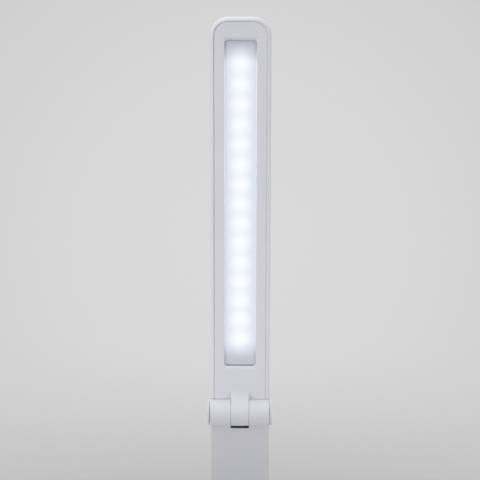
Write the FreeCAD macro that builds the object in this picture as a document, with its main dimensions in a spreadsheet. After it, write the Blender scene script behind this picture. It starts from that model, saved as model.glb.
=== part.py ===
"""Folding LED table lamp: a light head, a flat stem and a weighted base on two friction hinges.

Sizes are in millimetres. X runs across the lamp, Y from its front to its back and Z up.
The origin lies on the table under the middle of the base, and the lamp stands unfolded.
"""

import FreeCAD
import Part
import Sketcher
import math
import os
import re

SIZES = [
    ("head_length", 259.8, "hinge axis to the tip of the head"),
    ("head_width", 39.3, "width of the head"),
    ("head_thickness", 11.0, "front face to back face of the head"),
    ("head_corner", 12.0, "radius of the two tip corners"),
    ("head_wall", 1.8, "back wall of the head"),
    ("rim_width", 2.58, "rim of the back cover round the bezel"),
    ("rim_round", 1.8, "rounding of the rim's outer front edge"),
    ("rim_ease", 0.4, "rounding of the rim's inner front edge"),
    ("back_round", 3.0, "rounding of the back cover's rear edge"),
    ("bezel_seam", 0.18, "gap between rim and bezel"),
    ("bezel_thickness", 2.2, "front plate of the bezel"),
    ("bezel_round", 0.6, "rounding of the bezel's front edge"),
    ("bezel_skirt", 1.4, "skirt of the bezel inside the back cover"),
    ("block_margin", 3.0, "solid foot of the bezel above the bridge"),
    ("window_width", 20.8, "width of the light window"),
    ("window_margin", 14.4, "tip of the head to the window"),
    ("window_foot", 31.8, "hinge axis up to the window"),
    ("window_corner", 1.6, "corner radius of the window"),
    ("window_ease", 0.4, "rounding of the window's long edges"),
    ("ramp_length", 2.3, "rounded lips at both ends of the window"),
    ("ramp_depth", 1.5, "depth of the lips at both ends of the window"),
    ("diffuser_recess", 1.3, "front face of the head to the diffuser"),
    ("diffuser_gap", 0.12, "gaps beside the diffuser in the window"),
    ("diffuser_end", 0.65, "gaps at both ends of the diffuser"),
    ("diffuser_lip", 1.5, "overlap of the diffuser behind the bezel"),
    ("lip_thickness", 1.0, "thickness of the diffuser's lip"),
    ("frame_wall", 1.2, "wall of the reflector frame"),
    ("board_width", 17.0, "width of the light board"),
    ("board_thickness", 1.2, "thickness of the light board"),
    ("board_margin", 4.0, "reflector frame to the ends of the light board"),
    ("chip_count", 15, "number of light chips"),
    ("chip_foot", 14.4, "lower end of the light board to the first chip"),
    ("chip_end", 11.3, "upper end of the light board to the last chip"),
    ("chip_width", 3.5, "width of a light chip"),
    ("chip_height", 2.8, "height of a light chip"),
    ("chip_thickness", 0.8, "thickness of a light chip"),
    ("boss_radius", 2.6, "radius of a small screw boss"),
    ("screw_radius", 1.0, "shank of a small screw"),
    ("screw_length", 7.0, "length of a small screw's shank"),
    ("screw_head", 1.9, "radius of a small screw's head"),
    ("screw_height", 1.0, "height of a small screw's head"),
    ("screw_room", 0.15, "clearance round screws and their heads"),
    ("head_screw_side", 11.0, "lower head screws from the middle"),
    ("head_screw_up", 14.0, "lower head screws above the axis"),
    ("tip_screw_side", 7.0, "upper head screws from the middle"),
    ("tip_screw_down", 8.3, "upper head screws below the tip"),
    ("barrel_radius", 8.9, "radius of the hinge barrel"),
    ("barrel_round", 0.25, "rounding of the knuckles' end edges"),
    ("barrel_inset", 0.1, "outer knuckles in from the stem's sides"),
    ("knuckle_width", 11.8, "width of the middle knuckle"),
    ("knuckle_gap", 0.16, "gap beside the middle knuckle"),
    ("knuckle_web", 2.4, "web of an outer knuckle"),
    ("hollow_radius", 6.6, "hollow of an outer knuckle"),
    ("face_setback", 0.7, "hinge axis to the front faces behind it"),
    ("end_gap", 0.6, "gap between the parts that butt behind the axis"),
    ("swing_gap", 0.3, "clearance round the outer knuckles"),
    ("notch_gap", 2.45, "clearance round the middle knuckle"),
    ("notch_edge", 0.5, "front edge of the notch below the middle knuckle"),
    ("bridge_fillet", 9.0, "hollow curve from middle knuckle to front face"),
    ("shaft_radius", 3.6, "radius of a hinge shaft"),
    ("shaft_bore", 2.0, "bore of a hinge shaft"),
    ("shaft_flat", 3.0, "axis to the flats of a hinge shaft"),
    ("shaft_fit", 0.06, "running clearance of a hinge shaft"),
    ("shaft_end", 0.5, "end of a hinge shaft beyond its nut"),
    ("washer_radius", 6.0, "radius of the friction washers"),
    ("washer_thickness", 0.6, "thickness of the friction washers"),
    ("washer_room", 0.3, "clearance of the friction washers on the shaft"),
    ("spring_height", 1.2, "height of a disc spring"),
    ("spring_thickness", 0.6, "thickness of a disc spring"),
    ("nut_flats", 10.0, "width of a lock nut across its flats"),
    ("nut_thickness", 2.6, "thickness of a lock nut"),
    ("cap_radius", 7.3, "radius of a hinge cap"),
    ("cap_thickness", 0.9, "edge of a hinge cap"),
    ("cap_dome", 0.35, "rise of a hinge cap's dome"),
    ("cap_groove", 0.9, "groove between barrel and cap"),
    ("cap_plug", 2.0, "plug of a hinge cap"),
    ("plug_room", 0.1, "clearance round the plug of a hinge cap"),
    ("plug_wall", 1.4, "wall of the plug of a hinge cap"),
    ("stem_width", 39.0, "width of the stem"),
    ("stem_thickness", 14.0, "thickness of the stem"),
    ("stem_wall", 2.2, "front wall of the stem"),
    ("stem_round", 0.7, "rounding of the stem's long edges"),
    ("tip_clearance", 6.0, "folded head's tip to the lower barrel"),
    ("cover_rim", 2.6, "rim of the stem round its rear cover"),
    ("cover_ledge", 1.4, "ledge under the edge of the rear cover"),
    ("cover_thickness", 1.8, "thickness of the rear cover"),
    ("cover_gap", 0.25, "gap round the rear cover"),
    ("cavity_drop", 8.0, "upper axis down to the hollow of the stem"),
    ("stem_screw_side", 9.0, "rear cover screws from the middle"),
    ("stem_screw_end", 14.0, "rear cover screws from the cover's ends"),
    ("lead_radius", 0.7, "radius of the insulated leads"),
    ("lead_room", 0.6, "clearance round the leads"),
    ("lead_back", 4.6, "lead channels behind the hinge axis"),
    ("base_width", 112.0, "width of the base"),
    ("base_depth", 168.0, "depth of the base"),
    ("base_height", 18.5, "height of the base without its feet"),
    ("base_corner", 18.0, "corner radius of the base"),
    ("base_round", 4.0, "rounding of the base's top edge"),
    ("base_wall", 2.4, "walls of the base cover"),
    ("hinge_inset", 26.0, "rear of the base to the hinge axes"),
    ("fold_clearance", 2.5, "folded head to the top of the base"),
    ("plate_thickness", 2.5, "bottom plate of the base"),
    ("plate_gap", 0.3, "gap round the bottom plate"),
    ("foot_radius", 7.0, "radius of a rubber foot"),
    ("foot_height", 1.5, "rubber feet below the bottom plate"),
    ("foot_seat", 0.8, "recess for a rubber foot"),
    ("foot_inset", 20.0, "edges of the base to the rubber feet"),
    ("base_screw_inset", 9.5, "sides of the base to its screws"),
    ("base_screw_along", 46.0, "base screws in front of and behind the middle"),
    ("base_boss", 4.2, "radius of a base screw boss"),
    ("button_radius", 9.0, "radius of the power button"),
    ("button_gap", 0.25, "gap round the power button"),
    ("button_flange", 0.8, "thickness of the button's flange"),
    ("button_lip", 1.4, "overlap of the button's flange"),
    ("button_rise", 0.9, "top of the button above the base"),
    ("button_dish", 0.5, "dish in the top of the button"),
    ("button_round", 0.6, "rounding of the button's edge"),
    ("button_front", 34.0, "front of the base to the button"),
    ("plunger_rise", 1.0, "plunger of the switch above its case"),
    ("plunger_radius", 1.6, "radius of the switch plunger"),
    ("plunger_depth", 0.9, "plunger inside the switch case"),
    ("plunger_room", 0.2, "clearance round the plunger"),
    ("switch_size", 6.2, "sides of the switch case"),
    ("switch_height", 3.0, "height of the switch case"),
    ("control_width", 48.0, "width of the control board"),
    ("control_depth", 34.0, "depth of the control board"),
    ("control_thickness", 1.6, "thickness of the control board"),
    ("control_edge", 3.6, "edges of the circuit boards to their screws"),
    ("block_width", 5.0, "width of a lead connector"),
    ("block_depth", 4.0, "depth of a lead connector"),
    ("block_height", 3.4, "height of a lead connector"),
    ("block_inset", 1.5, "rear edge of the control board to the connectors"),
    ("coil_radius", 3.2, "radius of the choke coil"),
    ("coil_height", 2.6, "height of the choke coil"),
    ("driver_size", 5.0, "sides of the driver chip"),
    ("driver_height", 1.0, "height of the driver chip"),
    ("parts_side", 14.0, "coil and driver chip from the middle"),
    ("ballast_clearance", 2.2, "control board to the ballast below"),
    ("ballast_margin", 16.0, "sides of the base to the ballast"),
    ("ballast_front", 10.0, "front of the base to the ballast"),
    ("ballast_back", 34.0, "hinge axes forward to the ballast"),
    ("battery_margin", 27.0, "sides of the base to the battery"),
    ("battery_gap", 7.0, "control board to the battery"),
    ("battery_clearance", 1.4, "battery to the top of the base"),
    ("battery_round", 1.5, "rounding of the battery"),
    ("socket_width", 9.0, "width of the charging socket"),
    ("socket_height", 3.2, "height of the charging socket"),
    ("socket_depth", 7.6, "depth of the charging socket"),
    ("socket_corner", 1.3, "corner radius of the charging socket"),
    ("socket_wall", 0.3, "shell of the charging socket"),
    ("socket_up", 5.0, "bottom plate up to the charging socket"),
    ("socket_recess", 0.3, "rear of the base to the charging socket"),
    ("socket_room", 0.15, "gap round the charging socket"),
    ("tongue_width", 6.6, "width of the tongue in the socket"),
    ("tongue_height", 0.7, "height of the tongue in the socket"),
    ("tongue_recess", 0.9, "mouth of the socket to its tongue"),
    ("charge_width", 24.0, "width of the charging board"),
    ("charge_depth", 15.0, "depth of the charging board"),
    ("charge_inset", 0.6, "rear wall to the charging board"),
    ("post_screw_side", 10.0, "hinge post screws from the middle"),
    ("post_screw_depth", 5.5, "screw holes up into the hinge post"),
    ("post_wall", 4.0, "rear wall of the hinge post to its screws"),
]

doc = FreeCAD.newDocument("table_lamp")
sheet = doc.addObject("Spreadsheet::Sheet", "Sizes")
for row, (alias, value, meaning) in enumerate(SIZES, 1):
    sheet.set(f"A{row}", meaning)
    sheet.set(f"B{row}", str(value))
    sheet.setAlias(f"B{row}", alias)
doc.recompute()

ALIASES = {alias for alias, value, meaning in SIZES}
WORD = re.compile("[a-z_]+")
PLANES = {"x": "YZ_Plane", "y": "XZ_Plane", "z": "XY_Plane"}

# Places worked out from the sizes, each one a formula in their names.
BASE_TOP = "(foot_height + base_height)"
UNDERSIDE = "(foot_height + base_height - base_wall)"
PLATE_TOP = "(foot_height + plate_thickness)"
POST = "(face_setback + head_thickness + fold_clearance)"
LOWER_AXIS = f"({BASE_TOP} + {POST})"
HINGE_BACK = "(base_depth / 2 - hinge_inset)"
SPAN = "(head_length + barrel_radius + tip_clearance)"
UPPER_AXIS = f"({LOWER_AXIS} + {SPAN})"
HALF_GAP = "(end_gap / 2)"
HEAD_BACK = "(face_setback + head_thickness)"
HEAD_FLOOR = "(face_setback + head_thickness - head_wall)"
PLATE_BACK = "(face_setback + bezel_thickness)"
LIP_BACK = "(face_setback + bezel_thickness + lip_thickness)"
STEM_BACK = "(face_setback + stem_thickness)"
STEM_SEAT = "(face_setback + stem_thickness - cover_thickness)"
WINDOW_HIGH = "(head_length - window_margin)"
WINDOW_LOW = "window_foot"
WINDOW_SIDE = "(window_width / 2)"
BRIDGE_TOP = "sqrt((barrel_radius + bridge_fillet) ^ 2 - (bridge_fillet - face_setback) ^ 2)"
BRIDGE_SHARE = "barrel_radius / (barrel_radius + bridge_fillet)"
BRIDGE_FRONT = f"(face_setback - bridge_fillet) * {BRIDGE_SHARE}"
BLOCK_TOP = f"({BRIDGE_TOP} + block_margin)"
KNUCKLE_FACE = "(knuckle_width / 2 + knuckle_gap)"
WEB_FACE = f"({KNUCKLE_FACE} + knuckle_web)"
WASHER_FACE = f"({WEB_FACE} + washer_thickness)"
SPRING_FACE = f"({WASHER_FACE} + spring_height)"
NUT_FACE = f"({SPRING_FACE} + nut_thickness)"
SHAFT_END = f"({NUT_FACE} + shaft_end)"
LEAD_SIDE = f"({SHAFT_END} + lead_radius + lead_room / 2)"
BARREL_END = "(stem_width / 2 - barrel_inset)"
COVER_LOW = f"({BLOCK_TOP} - cover_ledge)"
COVER_HIGH = f"({SPAN} - cavity_drop + cover_ledge)"
COVER_SIDE = "(stem_width / 2 - cover_rim)"
BUTTON_Y = "(button_front - base_depth / 2)"
FLANGE_LOW = f"({UNDERSIDE} - button_flange)"
SWITCH_TOP = f"({FLANGE_LOW} - plunger_rise)"
BOARD_TOP = f"({SWITCH_TOP} - switch_height)"
BOARD_LOW = f"({BOARD_TOP} - control_thickness)"
BALLAST_TOP = f"({BOARD_LOW} - ballast_clearance)"
SOCKET_LOW = f"({PLATE_TOP} + socket_up)"
CHARGE_LOW = f"({SOCKET_LOW} + socket_height)"
CHARGE_TOP = f"({CHARGE_LOW} + board_thickness)"
CHARGE_BACK = "(base_depth / 2 - base_wall - charge_inset)"
BATTERY_SIDE = "(base_width / 2 - battery_margin)"
BATTERY_FRONT = f"({BUTTON_Y} + control_depth / 2 + battery_gap)"
BATTERY_BACK = f"({HINGE_BACK} - ballast_back)"
BLOCK_BACK = f"({BUTTON_Y} + control_depth / 2 - block_inset)"
LEAD_UP = f"({BOARD_TOP} + block_height / 2)"
LEAD_RUN = f"({BATTERY_FRONT} - battery_gap / 2)"
LEAD_AISLE = f"(({BATTERY_SIDE} + base_width / 2 - base_screw_inset - base_boss) / 2)"

HEAD_SCREWS = [
    ("head_screw_side", "head_screw_up"),
    ("-head_screw_side", "head_screw_up"),
    ("tip_screw_side", "head_length - tip_screw_down"),
    ("-tip_screw_side", "head_length - tip_screw_down"),
]
STEM_SCREWS = [
    ("stem_screw_side", f"{COVER_LOW} + stem_screw_end"),
    ("-stem_screw_side", f"{COVER_LOW} + stem_screw_end"),
    ("stem_screw_side", f"{COVER_HIGH} - stem_screw_end"),
    ("-stem_screw_side", f"{COVER_HIGH} - stem_screw_end"),
]
BASE_SCREWS = [
    ("base_width / 2 - base_screw_inset", "base_screw_along"),
    ("-base_width / 2 + base_screw_inset", "base_screw_along"),
    ("base_width / 2 - base_screw_inset", "-base_screw_along"),
    ("-base_width / 2 + base_screw_inset", "-base_screw_along"),
]
FEET = [
    ("base_width / 2 - foot_inset", "base_depth / 2 - foot_inset"),
    ("-base_width / 2 + foot_inset", "base_depth / 2 - foot_inset"),
    ("base_width / 2 - foot_inset", "-base_depth / 2 + foot_inset"),
    ("-base_width / 2 + foot_inset", "-base_depth / 2 + foot_inset"),
]
CONTROL_SCREWS = [
    (f"{side}(control_width / 2 - control_edge)", f"{BUTTON_Y} {end} (control_depth / 2 - control_edge)")
    for side in ("", "-")
    for end in "+-"
]
CHARGE_SCREWS = [
    (f"{side}(charge_width / 2 - control_edge)", f"{CHARGE_BACK} - control_edge")
    for side in ("", "-")
]
POST_SCREWS = [
    (f"{side}post_screw_side", f"{HINGE_BACK} + {STEM_BACK} - post_wall")
    for side in ("", "-")
]


def linked(formula):
    """The formula with each size written as a reference to the sheet."""
    return WORD.sub(lambda word: f"Sizes.{word[0]}" if word[0] in ALIASES else word[0], formula)


def mm(formula):
    """The number that a formula in the names of the sizes stands for."""
    return float(sheet.evalExpression(formula))


def new_body(label, back="0", up="0"):
    """An empty body with its own origin at a place on the lamp's middle plane."""
    body = doc.addObject("PartDesign::Body", label)
    body.Label = label
    body.setExpression("Placement.Base.y", linked(back))
    body.setExpression("Placement.Base.z", linked(up))
    return body


def sketch(body, normal, at="0"):
    """A sketch square to one axis of its body, at a place along that axis."""
    made = body.newObject("Sketcher::SketchObject", f"{body.Name}_sketch")
    plane = [part for part in body.Origin.OriginFeatures if part.Role == PLANES[normal]][0]
    made.AttachmentSupport = [(plane, "")]
    made.MapMode = "FlatFace"
    sign = "-" if normal == "y" else ""
    made.setExpression("AttachmentOffset.Base.z", linked(f"{sign}({at})"))
    return made


def fixed(made, kind, element, formula):
    """Bind one measure of a sketch to a formula."""
    index = made.addConstraint(Sketcher.Constraint(kind, *element, mm(formula)))
    made.setExpression(f"Constraints[{index}]", linked(formula))


def arc(made, start, end, radius, hollow):
    """An arc between two points that bulges out of its outline, or into it where it is hollow."""
    reach = mm(radius)
    chord = end - start
    left = FreeCAD.Vector(-chord.y, chord.x, 0).normalize()
    rise = math.sqrt(max(reach**2 - chord.Length**2 / 4, 0))
    centre = (start + end) / 2 + left * (-rise if hollow else rise)
    first, last = (end, start) if hollow else (start, end)
    low = math.atan2(first.y - centre.y, first.x - centre.x)
    high = math.atan2(last.y - centre.y, last.x - centre.x)
    if high < low:
        high += 2 * math.pi
    round_edge = Part.Circle(centre, FreeCAD.Vector(0, 0, 1), reach)
    index = made.addGeometry(Part.ArcOfCircle(round_edge, low, high), False)
    fixed(made, "Radius", (index,), radius)
    return (index, 2, 1) if hollow else (index, 1, 2)


def outline(made, points):
    """A closed outline, anticlockwise; a point's third formula is the radius of the arc leading to it."""
    spots = [FreeCAD.Vector(mm(point[0]), mm(point[1]), 0) for point in points]
    parts = []
    for index, point in enumerate(points):
        start, end = spots[index - 1], spots[index]
        if len(point) > 2:
            parts.append(arc(made, start, end, point[2], len(point) > 3))
        else:
            parts.append((made.addGeometry(Part.LineSegment(start, end), False), 1, 2))
    for index, point in enumerate(points):
        edge, first, last = parts[index]
        after, after_first, after_last = parts[(index + 1) % len(points)]
        made.addConstraint(Sketcher.Constraint("Coincident", edge, last, after, after_first))
        fixed(made, "DistanceX", (-1, 1, edge, last), point[0])
        fixed(made, "DistanceY", (-1, 1, edge, last), point[1])


def box(left, right, low, high, corner=None):
    """The points of an upright rectangle, with round corners where a radius is given."""
    if corner is None:
        return [(left, low), (right, low), (right, high), (left, high)]
    inner_left, inner_right = f"{left} + ({corner})", f"{right} - ({corner})"
    inner_low, inner_high = f"{low} + ({corner})", f"{high} - ({corner})"
    return [
        (inner_left, low, corner),
        (inner_right, low),
        (right, inner_low, corner),
        (right, inner_high),
        (inner_right, high, corner),
        (inner_left, high),
        (left, inner_high, corner),
        (left, inner_low),
    ]


def circles(made, radius, places=(("0", "0"),)):
    """Circles of one radius at the given places of a sketch."""
    for across, up in places:
        centre = FreeCAD.Vector(mm(across), mm(up), 0)
        ring = Part.Circle(centre, FreeCAD.Vector(0, 0, 1), mm(radius))
        index = made.addGeometry(ring, False)
        fixed(made, "DistanceX", (-1, 1, index, 3), across)
        fixed(made, "DistanceY", (-1, 1, index, 3), up)
        fixed(made, "Radius", (index,), radius)


def extruded(kind, made, length, both, back):
    """A pad or pocket of a sketch, to one side of it or to both."""
    feature = made.getParentGeoFeatureGroup().newObject(f"PartDesign::{kind}", f"{made.Name}_{kind}")
    feature.Profile = made
    feature.SideType = "Symmetric" if both else "One side"
    feature.setExpression("Length", linked(length))
    feature.Reversed = back
    made.Visibility = False
    return feature


def pad(made, length, both=False, back=False):
    """Material along the sketch's normal, or against it where back is set."""
    return extruded("Pad", made, length, both, back)


def pocket(made, length, both=False, back=False):
    """A cut against the sketch's normal, or along it where back is set."""
    return extruded("Pocket", made, length, both, back)


def turned(made, axis="H_Axis"):
    """A sketch turned once round its own horizontal or upright axis."""
    feature = made.getParentGeoFeatureGroup().newObject("PartDesign::Revolution", f"{made.Name}_turned")
    feature.Profile = made
    feature.ReferenceAxis = (made, [axis])
    feature.Angle = 360
    made.Visibility = False
    return feature


def lies(edge, axis, place):
    """Whether an edge lies in the plane at a place on an axis."""
    span = edge.BoundBox
    low, high = getattr(span, f"{axis}Min"), getattr(span, f"{axis}Max")
    return max(abs(low - mm(place)), abs(high - mm(place))) < 0.01


def dressed(kind, feature, size, wanted):
    """Round or bevel the edges of a feature that pass a test."""
    doc.recompute()
    names = [f"Edge{i}" for i, edge in enumerate(feature.Shape.Edges, 1) if wanted(edge)]
    made = feature.getParentGeoFeatureGroup().newObject(f"PartDesign::{kind}", f"{feature.Name}_{kind}")
    made.Base = (feature, names)
    made.setExpression("Radius" if kind == "Fillet" else "Size", linked(size))
    return made


def head_outline(inset, foot):
    """The head from the front, drawn in by an inset, with its two round tip corners."""
    side = f"(head_width / 2 - ({inset}))"
    corner = f"(head_corner - ({inset}))"
    tip = f"(head_length - ({inset}))"
    return [
        (f"-{side}", foot),
        (side, foot),
        (side, f"{tip} - {corner}"),
        (f"{side} - {corner}", tip, corner),
        (f"-{side} + {corner}", tip),
        (f"-{side}", f"{tip} - {corner}", corner),
    ]


def window_outline(spread, corner, ends=None):
    """The light window from the front, spread outwards all round or by another size at its ends."""
    side, ends = f"({WINDOW_SIDE} + ({spread}))", ends or spread
    return box(f"-{side}", side, f"{WINDOW_LOW} - ({ends})", f"{WINDOW_HIGH} + ({ends})", corner)


def flat_double(radius, flat):
    """A round section with two flats, seen along the hinge axis."""
    side = f"sqrt(({radius}) ^ 2 - ({flat}) ^ 2)"
    return [
        (side, f"-({flat})"),
        (side, flat, radius),
        (f"-{side}", flat),
        (f"-{side}", f"-({flat})", radius),
    ]


def knuckle(body, first, last, up="0"):
    """A barrel section round the hinge axis, with rounded end edges."""
    made = sketch(body, "z", up)
    inner = "(barrel_radius - barrel_round)"
    points = [
        (first, "0"),
        (last, "0"),
        (last, inner),
        (f"{last} - barrel_round", "barrel_radius", "barrel_round"),
        (f"{first} + barrel_round", "barrel_radius"),
        (first, inner, "barrel_round"),
    ]
    outline(made, points)
    return turned(made)


def middle_knuckle(body, floor):
    """The knuckle that turns, on its bridge; beside it the end is hollowed round the outer knuckles."""
    scallop(body)
    knuckle(body, "-knuckle_width / 2", "knuckle_width / 2")
    bridge = sketch(body, "x")
    points = [
        ("0", HALF_GAP),
        (floor, HALF_GAP),
        (floor, BRIDGE_TOP),
        ("face_setback", BRIDGE_TOP),
        (BRIDGE_FRONT, f"{BRIDGE_TOP} * {BRIDGE_SHARE}", "bridge_fillet", "hollow"),
    ]
    outline(bridge, points)
    pad(bridge, "knuckle_width", both=True)
    bore = sketch(body, "x")
    outline(bore, flat_double("shaft_radius + shaft_fit", "shaft_flat + shaft_fit"))
    pocket(bore, "2 * knuckle_width", both=True)
    channel = sketch(body, "z", "-lead_radius - lead_room")
    circles(channel, "lead_radius + lead_room", [("0", "lead_back")])
    return pocket(channel, f"{BLOCK_TOP} + 2 * lead_radius + 2 * lead_room", back=True)


def scallop(body):
    """The hollow end that clears the outer knuckles of the hinge below."""
    made = sketch(body, "x")
    circles(made, "barrel_radius + swing_gap")
    return pocket(made, "2 * head_width", both=True)


def outer_knuckles(body, up="0"):
    """The two fixed knuckles, hollow for the friction stack, and the notch between them."""
    notch = sketch(body, "x")
    circles(notch, "barrel_radius + notch_gap", [("0", up)])
    pocket(notch, f"2 * {KNUCKLE_FACE}", both=True)
    knuckle(body, KNUCKLE_FACE, BARREL_END, up)
    knuckle(body, f"-{BARREL_END}", f"-{KNUCKLE_FACE}", up)
    for place, against in (("stem_width / 2", False), ("-stem_width / 2", True)):
        hollow = sketch(body, "x", place)
        circles(hollow, "hollow_radius", [("0", up)])
        pocket(hollow, f"stem_width / 2 - {WEB_FACE}", back=against)
    hole = sketch(body, "x")
    circles(hole, "shaft_radius + shaft_fit", [("0", up)])
    pocket(hole, "2 * stem_width", both=True)
    channel = sketch(body, "z", up)
    circles(channel, "lead_radius + lead_room", [(LEAD_SIDE, "lead_back")])
    return pocket(channel, f"{POST} + lead_back")


def screws(label, places, normal, seat, back="0", up="0", shank="screw_length"):
    """Cross-recessed screws at the given places, their heads resting on a seat."""
    body = new_body(label, back, up)
    heads = sketch(body, normal, seat)
    circles(heads, "screw_head", places)
    pad(heads, "screw_height", back=True)
    shanks = sketch(body, normal, seat)
    circles(shanks, "screw_radius", places)
    pad(shanks, shank)
    top = f"{seat} + screw_height" if normal == "y" else f"{seat} - screw_height"
    cross = sketch(body, normal, top)
    arm, half = "screw_head * 0.6", "screw_head * 0.14"
    for x, y in places:
        corners = [(half, half), (half, arm), (f"-{half}", arm), (f"-{half}", half)]
        corners += [(f"-{arm}", half), (f"-{arm}", f"-{half}"), (f"-{half}", f"-{half}")]
        corners += [(f"-{half}", f"-{arm}"), (half, f"-{arm}"), (half, f"-{half}")]
        corners += [(arm, f"-{half}"), (arm, half)]
        outline(cross, [(f"{x} + {a}", f"{y} + {b}") for a, b in corners])
    pocket(cross, "screw_height / 2", back=True)


def head_back_cover():
    """Rear tray of the head, with a rounded rim round the bezel and four screw holes."""
    body = new_body("head_back_cover", HINGE_BACK, UPPER_AXIS)
    shape = sketch(body, "y", HEAD_BACK)
    outline(shape, head_outline("0", HALF_GAP))
    block = pad(shape, "head_thickness")
    for size, place in (("rim_round", "face_setback"), ("back_round", HEAD_BACK)):
        block = dressed("Fillet", block, size, lambda edge: round_the_head(edge, place))
    hollow = sketch(body, "y", "face_setback")
    outline(hollow, head_outline("rim_width", "-end_gap"))
    tray = pocket(hollow, "head_thickness - head_wall")
    dressed("Fillet", tray, "rim_ease", inside_the_rim)
    scallop(body)
    sinks = sketch(body, "y", HEAD_BACK)
    circles(sinks, "screw_head + screw_room", HEAD_SCREWS)
    pocket(sinks, "screw_height", back=True)
    holes = sketch(body, "y", HEAD_BACK)
    circles(holes, "screw_radius + screw_room", HEAD_SCREWS)
    pocket(holes, "2 * head_wall", back=True)


def round_the_head(edge, face):
    """Whether an edge runs round the head in one of its faces, clear of the hinge end."""
    return lies(edge, "Y", face) and not lies(edge, "Z", HALF_GAP)


def inside_the_rim(edge):
    """Whether an edge runs along the inner side of the rim in the front face."""
    span, side = edge.BoundBox, mm("head_width / 2 - rim_width / 2 - rim_round / 2")
    across = max(abs(span.XMin), abs(span.XMax)) < side
    along = span.ZMax < mm("head_length - rim_width / 2 - rim_round / 2")
    return across and along and lies(edge, "Y", "face_setback")


def head_front_bezel():
    """Front plate of the head with the light window, its skirt and the middle knuckle of the hinge."""
    body = new_body("head_front_bezel", HINGE_BACK, UPPER_AXIS)
    shape = sketch(body, "y", HEAD_FLOOR)
    outline(shape, head_outline("rim_width + bezel_seam", HALF_GAP))
    block = pad(shape, "head_thickness - head_wall")
    dressed("Fillet", block, "bezel_round", lambda edge: round_the_head(edge, "face_setback"))
    hollow = sketch(body, "y", HEAD_FLOOR)
    outline(hollow, head_outline("rim_width + bezel_seam + bezel_skirt", BLOCK_TOP))
    pocket(hollow, "head_thickness - head_wall - bezel_thickness", back=True)
    bosses = sketch(body, "y", HEAD_FLOOR)
    circles(bosses, "boss_radius", HEAD_SCREWS[2:])
    pad(bosses, "head_thickness - head_wall - bezel_thickness / 2")
    window = sketch(body, "y", "face_setback")
    outline(window, window_outline("0", "window_corner"))
    pocket(window, "bezel_thickness")
    plate = window_lips(body)
    dressed("Fillet", plate, "window_ease", beside_the_window)
    middle_knuckle(body, HEAD_FLOOR)
    holes = sketch(body, "y", HEAD_FLOOR)
    circles(holes, "screw_radius", HEAD_SCREWS)
    pocket(holes, "screw_length - head_wall + screw_height", back=True)


def window_lips(body):
    """The rounded lips that lead from the front face down to both ends of the window."""
    lips = sketch(body, "x")
    floor = "face_setback + ramp_depth"
    curve = "(ramp_length ^ 2 + ramp_depth ^ 2) / (2 * ramp_depth)"
    low, high = f"{WINDOW_LOW} + window_corner", f"{WINDOW_HIGH} - window_corner"
    lower = [("face_setback", f"{WINDOW_LOW} - ramp_length"), (floor, WINDOW_LOW, curve, "hollow")]
    outline(lips, lower + [(floor, low), ("face_setback", low)])
    upper = [(floor, WINDOW_HIGH), ("face_setback", f"{WINDOW_HIGH} + ramp_length", curve, "hollow")]
    outline(lips, [("face_setback", high), (floor, high)] + upper)
    return pocket(lips, "window_width", both=True)


def beside_the_window(edge):
    """Whether an edge is one of the window's long edges in the front face."""
    span = edge.BoundBox
    across = max(abs(span.XMin), abs(span.XMax)) < mm(f"{WINDOW_SIDE} + window_ease")
    return across and span.ZLength > mm("window_width") and lies(edge, "Y", "face_setback")


def diffuser():
    """Frosted strip that fills the window from behind, held by its lip."""
    body = new_body("diffuser", HINGE_BACK, UPPER_AXIS)
    lip = sketch(body, "y", LIP_BACK)
    outline(lip, window_outline("diffuser_lip", "window_corner"))
    pad(lip, "lip_thickness")
    front = sketch(body, "y", PLATE_BACK)
    outline(front, window_outline("-diffuser_gap", "window_corner", "-diffuser_end"))
    pad(front, "bezel_thickness - diffuser_recess")


def reflector_frame():
    """White frame round the light chips that spaces the diffuser from the back wall."""
    body = new_body("reflector_frame", HINGE_BACK, UPPER_AXIS)
    wall = sketch(body, "y", HEAD_FLOOR)
    outline(wall, window_outline("diffuser_lip", "window_corner"))
    pad(wall, f"{HEAD_FLOOR} - {LIP_BACK}")
    inside = sketch(body, "y", HEAD_FLOOR)
    outline(inside, window_outline("diffuser_lip - frame_wall", "window_corner / 2"))
    pocket(inside, f"{HEAD_FLOOR} - {LIP_BACK}", back=True)
    slot = sketch(body, "y", HEAD_FLOOR)
    side = "(lead_radius + lead_room)"
    outline(slot, box(f"-{side}", side, f"{WINDOW_LOW} - 2 * diffuser_lip", f"{WINDOW_LOW} + diffuser_lip"))
    pocket(slot, "board_thickness + 2 * lead_radius + lead_room", back=True)


def led_board():
    """Long aluminium circuit board on the back wall of the head."""
    body = new_body("led_board", HINGE_BACK, UPPER_AXIS)
    shape = sketch(body, "y", HEAD_FLOOR)
    low, high = f"{WINDOW_LOW} + board_margin", f"{WINDOW_HIGH} - board_margin"
    outline(shape, box("-board_width / 2", "board_width / 2", low, high))
    pad(shape, "board_thickness")


def led_chips():
    """Row of light chips along the middle of the board."""
    body = new_body("led_chips", HINGE_BACK, UPPER_AXIS)
    shape = sketch(body, "y", f"{HEAD_FLOOR} - board_thickness")
    first = f"({WINDOW_LOW} + board_margin + chip_foot)"
    low, high = f"{first} - chip_height / 2", f"{first} + chip_height / 2"
    outline(shape, box("-chip_width / 2", "chip_width / 2", low, high))
    chip = pad(shape, "chip_thickness")
    row = body.newObject("PartDesign::LinearPattern", "led_chip_row")
    row.Originals = [chip]
    row.Direction = ([part for part in body.Origin.OriginFeatures if part.Role == "Z_Axis"][0], [""])
    span = f"{WINDOW_HIGH} - {WINDOW_LOW} - 2 * board_margin - chip_foot - chip_end"
    row.setExpression("Length", linked(span))
    row.setExpression("Occurrences", linked("chip_count"))
    body.Tip = row


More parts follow.
